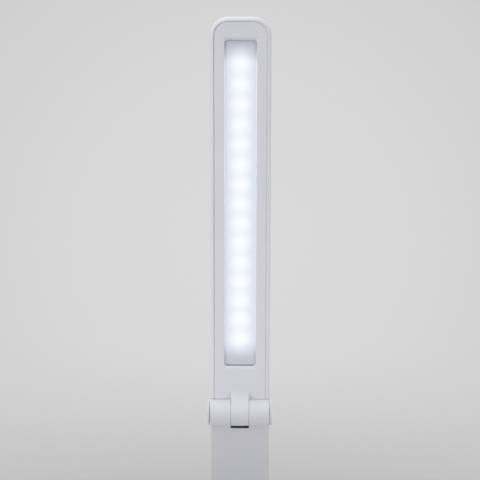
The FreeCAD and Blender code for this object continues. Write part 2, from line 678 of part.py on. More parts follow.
def stem_housing():
    """Front, sides and both hinge ends of the stem, open at the back."""
    body = new_body("stem_housing", HINGE_BACK, LOWER_AXIS)
    shape = sketch(body, "z", HALF_GAP)
    outline(shape, box("-stem_width / 2", "stem_width / 2", "face_setback", STEM_BACK))
    slab = pad(shape, f"{SPAN} - end_gap")
    dressed("Fillet", slab, "stem_round", lambda edge: edge.BoundBox.ZLength > mm("stem_width"))
    seat = sketch(body, "y", STEM_BACK)
    outline(seat, box(f"-{COVER_SIDE}", COVER_SIDE, COVER_LOW, COVER_HIGH))
    pocket(seat, "cover_thickness", back=True)
    cavity = sketch(body, "y", STEM_BACK)
    side = f"({COVER_SIDE} - cover_ledge)"
    outline(cavity, box(f"-{side}", side, f"{COVER_LOW} + cover_ledge", f"{COVER_HIGH} - cover_ledge"))
    pocket(cavity, "stem_thickness - stem_wall", back=True)
    bosses = sketch(body, "y", STEM_SEAT)
    circles(bosses, "boss_radius", STEM_SCREWS)
    pad(bosses, "stem_thickness - stem_wall / 2 - cover_thickness")
    holes = sketch(body, "y", STEM_SEAT)
    circles(holes, "screw_radius", STEM_SCREWS)
    pocket(holes, "screw_length", back=True)
    middle_knuckle(body, f"{STEM_BACK} - cover_thickness")
    outer_knuckles(body, SPAN)
    relief = sketch(body, "x")
    edge, back = "face_setback + notch_edge", "face_setback + stem_wall + lead_room"
    drop = f"{SPAN} - sqrt((barrel_radius + notch_gap) ^ 2 - face_setback ^ 2)"
    inner = f"{drop} - stem_wall - lead_room + notch_edge"
    top = f"{SPAN} - barrel_radius"
    outline(relief, [(edge, drop), (back, inner), (back, top), (edge, top)])
    pocket(relief, f"2 * {KNUCKLE_FACE}", both=True)
    passage = sketch(body, "z", f"{SPAN} - cavity_drop")
    room = "(lead_radius + lead_room)"
    outline(passage, box("0", f"{LEAD_SIDE} + {room}", f"lead_back - {room}", f"lead_back + {room}"))
    pocket(passage, f"cavity_drop + {room}")


def stem_rear_cover():
    """Flat cover let into the back of the stem."""
    body = new_body("stem_rear_cover", HINGE_BACK, LOWER_AXIS)
    shape = sketch(body, "y", STEM_BACK)
    side = f"({COVER_SIDE} - cover_gap)"
    outline(shape, box(f"-{side}", side, f"{COVER_LOW} + cover_gap", f"{COVER_HIGH} - cover_gap"))
    pad(shape, "cover_thickness")
    sinks = sketch(body, "y", STEM_BACK)
    circles(sinks, "screw_head + screw_room", STEM_SCREWS)
    pocket(sinks, "screw_height", back=True)
    holes = sketch(body, "y", STEM_BACK)
    circles(holes, "screw_radius + screw_room", STEM_SCREWS)
    pocket(holes, "2 * cover_thickness", back=True)


def hinge_stack(name, up):
    """Shaft, washers, springs, nuts and end caps of one friction hinge."""
    shaft = new_body(f"{name}_hinge_shaft", HINGE_BACK, up)
    rod = sketch(shaft, "x")
    circles(rod, "shaft_radius")
    pad(rod, f"2 * {SHAFT_END}", both=True)
    flats = sketch(shaft, "x")
    side = "(2 * shaft_radius)"
    outline(flats, box(f"-{side}", side, "shaft_flat", side))
    outline(flats, box(f"-{side}", side, f"-{side}", "-shaft_flat"))
    pocket(flats, "knuckle_width", both=True)
    bore = sketch(shaft, "x")
    circles(bore, "shaft_bore")
    pocket(bore, f"2 * {SHAFT_END}", both=True)
    outlet = sketch(shaft, "y")
    circles(outlet, "lead_radius + lead_room")
    pocket(outlet, "2 * shaft_radius")

    washers = new_body(f"{name}_friction_washers", HINGE_BACK, up)
    springs = new_body(f"{name}_disc_springs", HINGE_BACK, up)
    caps = new_body(f"{name}_hinge_caps", HINGE_BACK, up)
    for side in ("", "-"):
        washer_ring(washers, side)
        disc_spring(springs, side)
        hinge_cap(caps, side)
    nuts = new_body(f"{name}_lock_nuts", HINGE_BACK, up)
    for place, against in ((SPRING_FACE, False), (f"-{SPRING_FACE}", True)):
        lock_nut(nuts, place, against)


def mirrored(points, side):
    """An outline on one side of the lamp, or its mirror image still running anticlockwise."""
    if side == "":
        return points
    turned_round = []
    count = len(points)
    for index in range(count - 1, -1, -1):
        arriving = points[(index + 1) % count]
        turned_round.append((f"-({points[index][0]})", points[index][1]) + tuple(arriving[2:]))
    return turned_round


def washer_ring(body, side):
    """Flat friction washer against the web of an outer knuckle."""
    made = sketch(body, "z")
    inner = "shaft_radius + washer_room"
    outline(made, mirrored(box(WEB_FACE, WASHER_FACE, inner, "washer_radius"), side))
    turned(made)


def disc_spring(body, side):
    """Conical spring washer between friction washer and nut."""
    made = sketch(body, "z")
    inner = "shaft_radius + washer_room"
    points = [
        (f"{SPRING_FACE} - spring_thickness", inner),
        (SPRING_FACE, inner),
        (f"{WASHER_FACE} + spring_thickness", "washer_radius"),
        (WASHER_FACE, "washer_radius"),
    ]
    outline(made, mirrored(points, side))
    turned(made)


def hinge_cap(body, side):
    """Domed cap with a plug in the hollow of an outer knuckle and a groove behind its edge."""
    made = sketch(body, "z")
    plug = "(hollow_radius - plug_room)"
    groove = f"({BARREL_END} + cap_groove)"
    edge = f"({groove} + cap_thickness)"
    points = [
        (BARREL_END, "0"),
        (f"{edge} + cap_dome", "0"),
        (edge, "cap_radius", "(cap_radius ^ 2 + cap_dome ^ 2) / (2 * cap_dome)"),
        (groove, "cap_radius"),
        (groove, plug),
        (f"{BARREL_END} - cap_plug", plug),
        (f"{BARREL_END} - cap_plug", f"{plug} - plug_wall"),
        (BARREL_END, f"{plug} - plug_wall"),
    ]
    outline(made, mirrored(points, side))
    turned(made)


def lock_nut(body, place, against):
    """Hexagon nut on the end of a hinge shaft."""
    made = sketch(body, "x", place)
    flat = "(nut_flats / 2)"
    point = "(nut_flats / sqrt(3))"
    half = f"({point} / 2)"
    hexagon = [(point, "0"), (half, flat), (f"-{half}", flat), (f"-{point}", "0"), (f"-{half}", f"-{flat}")]
    outline(made, hexagon + [(half, f"-{flat}")])
    pad(made, "nut_thickness", back=against)
    bore = sketch(body, "x", place)
    circles(bore, "shaft_radius + shaft_fit")
    pocket(bore, "2 * nut_thickness", back=not against)


def hinge_post():
    """Short post on the base that carries the outer knuckles of the lower hinge."""
    body = new_body("hinge_post", HINGE_BACK, LOWER_AXIS)
    shape = sketch(body, "z", f"-{POST}")
    outline(shape, box("-stem_width / 2", "stem_width / 2", "face_setback", STEM_BACK))
    slab = pad(shape, f"{POST} - {HALF_GAP}")
    dressed("Fillet", slab, "stem_round", lambda edge: edge.BoundBox.ZLength > 1)
    outer_knuckles(body)
    cavity = sketch(body, "z", f"-{POST}")
    side = f"({KNUCKLE_FACE} - lead_room)"
    outline(cavity, box(f"-{side}", side, "face_setback + stem_wall", f"{STEM_BACK} - stem_wall"))
    pocket(cavity, f"{POST} - cavity_drop", back=True)
    holes = sketch(body, "z", f"-{POST}")
    circles(holes, "screw_radius", [(x, f"{y} - {HINGE_BACK}") for x, y in POST_SCREWS])
    pocket(holes, "post_screw_depth", back=True)


def base_outline(inset):
    """The base from above, drawn in by an inset."""
    side, end = f"(base_width / 2 - ({inset}))", f"(base_depth / 2 - ({inset}))"
    return box(f"-{side}", side, f"-{end}", end, f"base_corner - ({inset})")


def base_top_cover():
    """Shell of the base with its screw bosses and the openings for button, leads and socket."""
    body = new_body("base_top_cover")
    shape = sketch(body, "z", "foot_height")
    outline(shape, base_outline("0"))
    block = pad(shape, "base_height")
    dressed("Fillet", block, "base_round", lambda edge: lies(edge, "Z", BASE_TOP))
    hollow = sketch(body, "z", "foot_height")
    outline(hollow, base_outline("base_wall"))
    pocket(hollow, "base_height - base_wall", back=True)
    for places, radius, low in (
        (BASE_SCREWS, "base_boss", PLATE_TOP),
        (CONTROL_SCREWS, "boss_radius", BOARD_TOP),
        (CHARGE_SCREWS, "boss_radius", CHARGE_TOP),
    ):
        bosses = sketch(body, "z", low)
        circles(bosses, radius, places)
        pad(bosses, f"{BASE_TOP} - base_wall / 2 - {low}")
        holes = sketch(body, "z", low)
        circles(holes, "screw_radius", places)
        pocket(holes, f"{UNDERSIDE} - {low}", back=True)
    holes = sketch(body, "z", BASE_TOP)
    circles(holes, "button_radius + button_gap", [("0", BUTTON_Y)])
    circles(holes, "screw_radius + screw_room", POST_SCREWS)
    circles(holes, "lead_radius + lead_room", [(LEAD_SIDE, f"{HINGE_BACK} + lead_back")])
    pocket(holes, "2 * base_wall")
    slot = sketch(body, "y", "base_depth / 2")
    side = "(socket_width / 2 + socket_room)"
    low, high = f"{SOCKET_LOW} - socket_room", f"{CHARGE_LOW} + socket_room"
    outline(slot, box(f"-{side}", side, low, high, "socket_corner + socket_room"))
    pocket(slot, "2 * base_wall", back=True)


def base_bottom_plate():
    """Plate that closes the base from below, with seats for the feet and screw holes."""
    body = new_body("base_bottom_plate")
    shape = sketch(body, "z", "foot_height")
    outline(shape, base_outline("base_wall + plate_gap"))
    pad(shape, "plate_thickness")
    seats = sketch(body, "z", "foot_height")
    circles(seats, "foot_radius + plate_gap", FEET)
    pocket(seats, "foot_seat", back=True)
    sinks = sketch(body, "z", "foot_height")
    circles(sinks, "screw_head + screw_room", BASE_SCREWS)
    pocket(sinks, "screw_height", back=True)
    holes = sketch(body, "z", "foot_height")
    circles(holes, "screw_radius + screw_room", BASE_SCREWS)
    pocket(holes, "2 * plate_thickness", back=True)


def rubber_feet():
    """Four soft feet let into the bottom plate."""
    body = new_body("rubber_feet")
    shape = sketch(body, "z")
    circles(shape, "foot_radius", FEET)
    feet = pad(shape, "foot_height + foot_seat")
    dressed("Chamfer", feet, "foot_height / 4", lambda edge: lies(edge, "Z", "0"))


def ballast_plate():
    """Steel plate that weighs the base down."""
    body = new_body("ballast_plate")
    shape = sketch(body, "z", PLATE_TOP)
    side = "(base_width / 2 - ballast_margin)"
    outline(shape, box(f"-{side}", side, "ballast_front - base_depth / 2", BATTERY_BACK, "base_corner / 3"))
    pad(shape, f"{BALLAST_TOP} - {PLATE_TOP}")


def battery_pack():
    """Flat rechargeable cell on the ballast plate."""
    body = new_body("battery_pack")
    shape = sketch(body, "z", BALLAST_TOP)
    outline(shape, box(f"-{BATTERY_SIDE}", BATTERY_SIDE, BATTERY_FRONT, BATTERY_BACK, "battery_round"))
    pad(shape, f"{UNDERSIDE} - battery_clearance - {BALLAST_TOP}")


def control_board():
    """Circuit board under the button, screwed to the cover's bosses."""
    body = new_body("control_board")
    shape = sketch(body, "z", BOARD_LOW)
    low, high = f"{BUTTON_Y} - control_depth / 2", f"{BUTTON_Y} + control_depth / 2"
    outline(shape, box("-control_width / 2", "control_width / 2", low, high, "battery_round"))
    pad(shape, "control_thickness")
    holes = sketch(body, "z", BOARD_LOW)
    circles(holes, "screw_radius + screw_room", CONTROL_SCREWS)
    pocket(holes, "2 * control_thickness", back=True)


def control_parts():
    """Driver chip, choke coil and lead connectors on the control board."""
    body = new_body("control_parts")
    chip = sketch(body, "z", BOARD_TOP)
    half = "(driver_size / 2)"
    sides = (f"parts_side - {half}", f"parts_side + {half}")
    outline(chip, box(*sides, f"{BUTTON_Y} - {half}", f"{BUTTON_Y} + {half}"))
    pad(chip, "driver_height")
    coil = sketch(body, "z", BOARD_TOP)
    circles(coil, "coil_radius", [("-parts_side", BUTTON_Y)])
    pad(coil, "coil_height")
    blocks = sketch(body, "z", BOARD_TOP)
    for middle in ("0", LEAD_SIDE, f"-{LEAD_SIDE}"):
        sides = (f"{middle} - block_width / 2", f"{middle} + block_width / 2")
        outline(blocks, box(*sides, f"{BLOCK_BACK} - block_depth", BLOCK_BACK))
    pad(blocks, "block_height")


def charging_board():
    """Small circuit board behind the charging socket."""
    body = new_body("charging_board")
    shape = sketch(body, "z", CHARGE_LOW)
    outline(shape, box("-charge_width / 2", "charge_width / 2", f"{CHARGE_BACK} - charge_depth", CHARGE_BACK))
    pad(shape, "board_thickness")
    holes = sketch(body, "z", CHARGE_LOW)
    circles(holes, "screw_radius + screw_room", CHARGE_SCREWS)
    pocket(holes, "2 * board_thickness", back=True)


def charging_socket():
    """Metal shell of the charging socket with its contact tongue."""
    body = new_body("charging_socket")
    mouth = "(base_depth / 2 - socket_recess)"
    side, middle = "(socket_width / 2)", f"({SOCKET_LOW} + socket_height / 2)"
    shell = sketch(body, "y", mouth)
    outline(shell, box(f"-{side}", side, SOCKET_LOW, CHARGE_LOW, "socket_corner"))
    pad(shell, "socket_depth")
    inside = sketch(body, "y", mouth)
    inner = f"({side} - socket_wall)"
    low, high = f"{SOCKET_LOW} + socket_wall", f"{CHARGE_LOW} - socket_wall"
    outline(inside, box(f"-{inner}", inner, low, high, "socket_corner - socket_wall"))
    pocket(inside, "socket_depth - 2 * socket_wall", back=True)
    tongue = sketch(body, "y", f"{mouth} - tongue_recess")
    low, high = f"{middle} - tongue_height / 2", f"{middle} + tongue_height / 2"
    outline(tongue, box("-tongue_width / 2", "tongue_width / 2", low, high))
    pad(tongue, "socket_depth - tongue_recess - socket_wall")


def power_button():
    """Round push button with a dished top, kept in the cover by its flange."""
    body = new_body("power_button", BUTTON_Y)
    made = sketch(body, "y")
    top = f"({BASE_TOP} + button_rise)"
    rim, flange = "(button_radius - button_round)", "(button_radius + button_lip)"
    points = [
        ("0", FLANGE_LOW),
        (flange, FLANGE_LOW),
        (flange, UNDERSIDE),
        ("button_radius", UNDERSIDE),
        ("button_radius", f"{top} - button_round"),
        (rim, top, "button_round"),
        ("0", f"{top} - button_dish", f"({rim} ^ 2 + button_dish ^ 2) / (2 * button_dish)", "hollow"),
    ]
    outline(made, points)
    turned(made, "V_Axis")


def tact_switch():
    """Case of the push switch on the control board."""
    body = new_body("tact_switch", BUTTON_Y)
    shape = sketch(body, "z", BOARD_TOP)
    side = "(switch_size / 2)"
    outline(shape, box(f"-{side}", side, f"-{side}", side))
    pad(shape, "switch_height")
    hole = sketch(body, "z", SWITCH_TOP)
    circles(hole, "plunger_radius + plunger_room")
    pocket(hole, "2 * plunger_depth + plunger_room")


def switch_plunger():
    """Plunger of the push switch, under the button."""
    body = new_body("switch_plunger", BUTTON_Y)
    shape = sketch(body, "z", f"{SWITCH_TOP} - plunger_depth")
    circles(shape, "plunger_radius")
    pad(shape, "plunger_rise + plunger_depth")


def lead(label, points, bend):
    """Insulated lead through points of the lamp, each corner bent to a radius."""
    spots = [FreeCAD.Vector(*[mm(place) for place in point]) for point in points]
    radius, bend = mm("lead_radius"), mm(bend)
    edges, start = [], spots[0]
    for before, corner, after in zip(spots, spots[1:], spots[2:]):
        into, out = (before - corner).normalize(), (after - corner).normalize()
        half = into.getAngle(out) / 2
        reach = bend / math.tan(half)
        middle = corner + (into + out).normalize() * (bend / math.sin(half) - bend)
        first, last = corner + into * reach, corner + out * reach
        edges += [Part.LineSegment(start, first).toShape(), Part.Arc(first, middle, last).toShape()]
        start = last
    edges.append(Part.LineSegment(start, spots[-1]).toShape())
    section = Part.Wire(Part.Circle(spots[0], spots[1] - spots[0], radius).toShape())
    made = doc.addObject("Part::Feature", label)
    made.Label = label
    made.Shape = Part.Wire(edges).makePipeShell([section], True, True)


def head_lead():
    """Lead from the upper hinge axis to the light board."""
    board = f"{HINGE_BACK} + {HEAD_FLOOR} - board_thickness - lead_radius"
    points = [
        (f"{SHAFT_END} - lead_radius", HINGE_BACK, UPPER_AXIS),
        ("0", HINGE_BACK, UPPER_AXIS),
        ("0", f"{HINGE_BACK} + lead_back", UPPER_AXIS),
        ("0", f"{HINGE_BACK} + lead_back", f"{UPPER_AXIS} + {BLOCK_TOP}"),
        ("0", board, f"{UPPER_AXIS} + {WINDOW_LOW} - 2 * diffuser_lip"),
        ("0", board, f"{UPPER_AXIS} + {WINDOW_LOW} + 2 * board_margin"),
    ]
    lead("head_lead", points, "2 * lead_radius")


def stem_lead():
    """Lead from the lower hinge axis up the stem to the upper hinge axis."""
    back = f"{HINGE_BACK} + lead_back"
    points = [
        (f"{SHAFT_END} - lead_radius", HINGE_BACK, LOWER_AXIS),
        ("0", HINGE_BACK, LOWER_AXIS),
        ("0", back, LOWER_AXIS),
        ("0", back, f"{UPPER_AXIS} - 2 * cavity_drop"),
        (LEAD_SIDE, back, f"{UPPER_AXIS} - 1.5 * cavity_drop"),
        (LEAD_SIDE, back, UPPER_AXIS),
        (LEAD_SIDE, HINGE_BACK, UPPER_AXIS),
    ]
    lead("stem_lead", points, "2 * lead_radius")


def base_lead():
    """Lead from the control board back and up to the lower hinge axis."""
    back = f"{HINGE_BACK} + lead_back"
    points = [
        (LEAD_SIDE, BLOCK_BACK, LEAD_UP),
        (LEAD_SIDE, LEAD_RUN, LEAD_UP),
        (LEAD_AISLE, LEAD_RUN, LEAD_UP),
        (LEAD_AISLE, f"{HINGE_BACK} - lead_back", LEAD_UP),
        (LEAD_SIDE, back, LEAD_UP),
        (LEAD_SIDE, back, LOWER_AXIS),
        (LEAD_SIDE, HINGE_BACK, LOWER_AXIS),
    ]
    lead("base_lead", points, "2 * lead_radius")


def charge_lead():
    """Lead from the charging board forward to the control board."""
    up = f"{CHARGE_TOP} + lead_radius"
    points = [
        (f"-{LEAD_SIDE}", BLOCK_BACK, LEAD_UP),
        (f"-{LEAD_SIDE}", LEAD_RUN, LEAD_UP),
        (f"-{LEAD_AISLE}", LEAD_RUN, LEAD_UP),
        (f"-{LEAD_AISLE}", f"{HINGE_BACK} - lead_back", up),
        ("0", f"{HINGE_BACK} + lead_room", up),
        ("0", f"{CHARGE_BACK} - charge_depth / 2", up),
    ]
    lead("charge_lead", points, "2 * lead_radius")


def battery_lead():
    """Short lead from the battery to the control board."""
    points = [
        ("0", BLOCK_BACK, LEAD_UP),
        ("0", BATTERY_FRONT, LEAD_UP),
    ]
    lead("battery_lead", points, "2 * lead_radius")


def write_parts():
    """Check each piece and write it to its own file."""
    doc.recompute()
    bad = [item.Name for item in doc.Objects if {"Invalid", "Error"} & set(item.State)]
    pieces = [item for item in doc.Objects if item.TypeId in ("PartDesign::Body", "Part::Feature")]
    bad += [item.Name for item in pieces if item.Shape.isNull() or not item.Shape.isValid()]
    if bad:
        raise RuntimeError(f"not built: {bad}")
    os.makedirs("parts", exist_ok=True)
    for item in pieces:
        item.Shape.exportStep(f"parts/{item.Label}.step")
        print(item.Label, len(item.Shape.Solids), round(item.Shape.Volume, 1))


head_back_cover()
head_front_bezel()
diffuser()
reflector_frame()
led_board()
led_chips()
screws("head_screws", HEAD_SCREWS, "y", f"{HEAD_BACK} - screw_height", HINGE_BACK, UPPER_AXIS)
hinge_stack("upper", UPPER_AXIS)
head_lead()
stem_housing()
stem_rear_cover()
screws("stem_screws", STEM_SCREWS, "y", f"{STEM_BACK} - screw_height", HINGE_BACK, LOWER_AXIS)
hinge_stack("lower", LOWER_AXIS)
stem_lead()
hinge_post()
screws("post_screws", POST_SCREWS, "z", UNDERSIDE, shank="post_screw_depth + base_wall - screw_room")
base_top_cover()
base_bottom_plate()
screws("base_screws", BASE_SCREWS, "z", "foot_height + screw_height")
rubber_feet()
ballast_plate()
battery_pack()
control_board()
control_parts()
screws("control_screws", CONTROL_SCREWS, "z", BOARD_LOW, shank=f"{UNDERSIDE} - {BOARD_LOW} - screw_room")
charging_board()
screws("charging_screws", CHARGE_SCREWS, "z", CHARGE_LOW, shank=f"{UNDERSIDE} - {CHARGE_LOW} - screw_room")
charging_socket()
power_button()
tact_switch()
switch_plunger()
base_lead()
charge_lead()
battery_lead()
write_parts()
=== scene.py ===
"""Looks of a folding table lamp with a long lit head, section by section as the lamp is assembled."""

import math

import bmesh
import bpy
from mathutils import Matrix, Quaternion, Vector


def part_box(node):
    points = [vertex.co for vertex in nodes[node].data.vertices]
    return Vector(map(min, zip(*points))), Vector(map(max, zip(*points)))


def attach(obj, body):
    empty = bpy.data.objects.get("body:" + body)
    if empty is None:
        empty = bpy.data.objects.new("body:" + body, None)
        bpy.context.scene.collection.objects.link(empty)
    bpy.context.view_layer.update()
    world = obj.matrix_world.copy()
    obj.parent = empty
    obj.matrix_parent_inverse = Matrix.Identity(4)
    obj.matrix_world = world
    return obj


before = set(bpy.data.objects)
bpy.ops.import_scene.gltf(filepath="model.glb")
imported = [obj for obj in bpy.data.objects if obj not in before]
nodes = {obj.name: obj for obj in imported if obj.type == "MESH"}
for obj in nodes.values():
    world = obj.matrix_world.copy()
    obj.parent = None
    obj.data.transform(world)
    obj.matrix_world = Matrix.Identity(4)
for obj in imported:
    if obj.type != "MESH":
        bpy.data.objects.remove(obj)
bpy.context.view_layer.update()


# Bottom plate. A flat injection moulded plate of light grey plastic that closes the base from below.
# Its tool is spark eroded, which leaves a fine even grain, and four screws hold it to the cover.
def fed(tree, kind, inputs=(), **settings):
    """A node with its settings and, by socket, the values or other nodes' outputs that feed it."""
    made = tree.nodes.new("ShaderNode" + kind)
    for name, value in settings.items():
        setattr(made, name, value)
    for socket, value in dict(inputs).items():
        if isinstance(value, bpy.types.NodeSocket):
            tree.links.new(value, made.inputs[socket])
        else:
            made.inputs[socket].default_value = value
    return made


def sum_of(tree, operation, *values):
    """The output of a Math node."""
    return fed(tree, "Math", enumerate(values), operation=operation).outputs[0]


def shared_effect(name, takes):
    """An empty node group for a colour, a roughness and a normal; returned with its two ends."""
    kinds = {"c": "NodeSocketColor", "f": "NodeSocketFloat", "v": "NodeSocketVector"}
    group = bpy.data.node_groups.new(name, "ShaderNodeTree")
    for socket, kind in takes.items():
        group.interface.new_socket(socket, in_out="INPUT", socket_type=kinds[kind])
    for socket, kind in {"Colour": "c", "Roughness": "f", "Normal": "v"}.items():
        group.interface.new_socket(socket, in_out="OUTPUT", socket_type=kinds[kind])
    return group, group.nodes.new("NodeGroupInput").outputs, group.nodes.new("NodeGroupOutput").inputs


def gives(group, given, colour, roughness, normal):
    """The finished group, with what it gives to the materials that share it."""
    group.links.new(colour, given["Colour"])
    group.links.new(roughness, given["Roughness"])
    group.links.new(normal, given["Normal"])
    return group


def shades(tree, value, dark, light, start=0.0, stop=1.0):
    """A colour that runs from dark to light while the value runs from start to stop."""
    ramp = fed(tree, "ValToRGB", {0: value})
    ends = ramp.color_ramp.elements
    ends[0].position, ends[1].position = start, stop
    ends[0].color, ends[1].color = dark, light
    return ramp.outputs[0]


PIGMENT_SCALE, PIMPLE_SHINE = 38.0, 0.3


def moulded_grain():
    """Spark eroded mould texture: fine pimples, and the faint cloudiness of pigment in the melt."""
    takes = {"Colour": "c", "Cloud": "f", "Gloss": "f", "Pimple": "f", "Height": "f"}
    group, taken, given = shared_effect("moulded_grain", takes)
    place = fed(group, "TexCoord").outputs["Object"]
    fine = sum_of(group, "DIVIDE", 1.0, taken["Pimple"])
    pimples = fed(group, "TexNoise", {"Vector": place, "Scale": fine, "Detail": 2.0, "Roughness": 0.6})
    pigment = fed(group, "TexNoise", {"Vector": place, "Scale": PIGMENT_SCALE, "Detail": 3.0})
    cloud = sum_of(group, "SUBTRACT", pigment.outputs[0], 0.5)
    lighter = sum_of(group, "MULTIPLY_ADD", cloud, taken["Cloud"], 1.0)
    tint = fed(group, "VectorMath", {0: taken["Colour"], "Scale": lighter}, operation="SCALE")
    uneven = sum_of(group, "SUBTRACT", pimples.outputs[0], 0.5)
    shine = sum_of(group, "MULTIPLY_ADD", uneven, PIMPLE_SHINE, taken["Gloss"])
    bump = fed(group, "Bump", {"Height": pimples.outputs[0], "Distance": taken["Height"], "Strength": 1.0})
    return gives(group, given, tint.outputs[0], shine, bump.outputs[0])


GRAIN = moulded_grain()


def new_finish(name, **fixed):
    """An empty material with its Principled shader and the numbers that are the same all over."""
    finish = bpy.data.materials.new(name)
    finish.use_nodes = True
    shader = finish.node_tree.nodes["Principled BSDF"]
    for socket, value in fixed.items():
        shader.inputs[socket.replace("_", " ")].default_value = value
    return finish, finish.node_tree, shader


def wire_in(tree, shader, group, **values):
    """A shared effect placed in a material; its colour, roughness and normal go to the shader."""
    effect = tree.nodes.new("ShaderNodeGroup")
    effect.node_tree = group
    for socket, value in values.items():
        effect.inputs[socket].default_value = value
    for output, socket in (("Colour", "Base Color"), ("Roughness", "Roughness"), ("Normal", "Normal")):
        tree.links.new(effect.outputs[output], shader.inputs[socket])
    return effect


def dress(finish, *names):
    """The CAD nodes of these names wear one finish."""
    for name in names:
        nodes[name].data.materials.clear()
        nodes[name].data.materials.append(finish)


bottom_grey, tree, shader = new_finish("grained_grey_plastic", IOR=1.5)
wire_in(tree, shader, GRAIN, Colour=(0.60, 0.61, 0.64, 1), Cloud=0.05, Gloss=0.55,
        Pimple=0.0006, Height=0.00004)
dress(bottom_grey, "base_bottom_plate")


# Feet. Four discs of soft rubber pressed into wells in the bottom plate, so that the lamp doesn't slide.
# They are cut from sheet, matt, and a little dusty from the table.
RUBBER, RUBBER_DUST = (0.030, 0.030, 0.032, 1), (0.075, 0.073, 0.070, 1)
DUST_SCALE, DUST_STARTS, DUST_FULL = 420.0, 0.5, 0.8
foot_rubber, tree, shader = new_finish("dusty_foot_rubber", IOR=1.45, Specular_IOR_Level=0.3)
effect = wire_in(tree, shader, GRAIN, Cloud=0.25, Gloss=0.85, Pimple=0.0009, Height=0.00006)
place = fed(tree, "TexCoord").outputs["Object"]
dust = fed(tree, "TexNoise", {"Vector": place, "Scale": DUST_SCALE, "Detail": 5.0, "Roughness": 0.7})
dust_and_groove_shade = shades(tree, dust.outputs[0], RUBBER, RUBBER_DUST, DUST_STARTS, DUST_FULL)
tree.links.new(dust_and_groove_shade, effect.inputs["Colour"])
dress(foot_rubber, "rubber_feet")


# Screws. Small cross-recessed screws, cold headed from steel wire and plated bright.
# The same kind closes the base, the stem and the head and holds the boards and the hinge post.
STAIN_SCALE, STREAK_SHARE, STREAK_SHINE = 160.0, 0.2, 0.35
SHADE_SPAN, SHADE_LEAST = 0.35, 0.79


def worked_marks():
    """Marks of rolling or turning: streaks across the surface, of a width along each axis."""
    takes = {"Colour": "c", "Gloss": "f", "Streaks": "v", "Depth": "f"}
    group, taken, given = shared_effect("worked_marks", takes)
    place = fed(group, "TexCoord").outputs["Object"]
    along = fed(group, "VectorMath", {0: place, 1: taken["Streaks"]}, operation="MULTIPLY")
    drawn = {"Vector": along.outputs[0], "Scale": 1.0, "Detail": 4.0, "Roughness": 0.65}
    streaks = fed(group, "TexNoise", drawn)
    stains = fed(group, "TexNoise", {"Vector": place, "Scale": STAIN_SCALE, "Detail": 3.0})
    faint = sum_of(group, "MULTIPLY", streaks.outputs[0], STREAK_SHARE)
    both = sum_of(group, "ADD", faint, stains.outputs[0])
    shade = sum_of(group, "MULTIPLY_ADD", both, SHADE_SPAN, SHADE_LEAST)
    tint = fed(group, "VectorMath", {0: taken["Colour"], "Scale": shade}, operation="SCALE")
    uneven = sum_of(group, "SUBTRACT", streaks.outputs[0], 0.5)
    shine = sum_of(group, "MULTIPLY_ADD", uneven, STREAK_SHINE, taken["Gloss"])
    bump = fed(group, "Bump", {"Height": streaks.outputs[0], "Distance": taken["Depth"], "Strength": 1.0})
    return gives(group, given, tint.outputs[0], shine, bump.outputs[0])


MARKS = worked_marks()
plated, tree, shader = new_finish("plated_screw_steel", Metallic=1.0)
wire_in(tree, shader, MARKS, Colour=(0.60, 0.60, 0.62, 1), Gloss=0.32,
        Streaks=(2500, 2500, 2500), Depth=0.000004)
dress(plated, "base_screws", "post_screws", "control_screws", "charging_screws", "stem_screws", "head_screws")


# Ballast. A plate cut from hot rolled steel strip, left bare and oiled, that lies on the bottom plate.
# Its weight keeps the lamp on its feet when the head is swung out.
ballast, tree, shader = new_finish("oiled_rolled_steel", Metallic=1.0)
wire_in(tree, shader, MARKS, Colour=(0.20, 0.20, 0.21, 1), Gloss=0.48,
        Streaks=(1800, 30, 1800), Depth=0.00002)
dress(ballast, "ballast_plate")


# Battery. A flat cell in a blue heat-shrunk sleeve, which puckers a little where it was shrunk.
# It sits in ribs of the bottom plate and feeds the control board by a short lead.
SLEEVE_DARK, SLEEVE_LIGHT = (0.035, 0.14, 0.40, 1), (0.055, 0.19, 0.48, 1)
PUCKER_SCALE, PUCKER_DEPTH, PUCKER_SHINE, PUCKER_GLOSS = 330.0, 0.0002, 0.25, 0.22
PUCKER_STARTS, PUCKER_FULL = 0.3, 0.7
sleeve, tree, shader = new_finish("shrunk_blue_sleeve", IOR=1.5, Coat_Weight=0.4, Coat_Roughness=0.15)
place = fed(tree, "TexCoord").outputs["Object"]
puckers = fed(tree, "TexNoise", {"Vector": place, "Scale": PUCKER_SCALE, "Detail": 3.0, "Distortion": 1.5})
blues = shades(tree, puckers.outputs[0], SLEEVE_DARK, SLEEVE_LIGHT, PUCKER_STARTS, PUCKER_FULL)
dull = sum_of(tree, "MULTIPLY_ADD", puckers.outputs[0], PUCKER_SHINE, PUCKER_GLOSS)
bump = fed(tree, "Bump", {"Height": puckers.outputs[0], "Distance": PUCKER_DEPTH, "Strength": 0.6})
tree.links.new(blues, shader.inputs["Base Color"])
tree.links.new(dull, shader.inputs["Roughness"])
tree.links.new(bump.outputs[0], shader.inputs["Normal"])
dress(sleeve, "battery_pack")


# Control board. Glass fibre laminate under green solder mask, with copper tracks just showing through.
# Four screws hold it to pillars; the charging board behind it is of the same stuff.
TRACK_WIDTH, TRACK_EDGE, TRACK_OFFSET, TRACK_SQUASH, TRACK_HEIGHT = 0.06, 0.2, 0.37, 0.6, 0.00003
BARE_SCALE, BARE_SHARE, MASK_SHINE, MASK_GLOSS = 90.0, 0.45, 0.15, 0.25


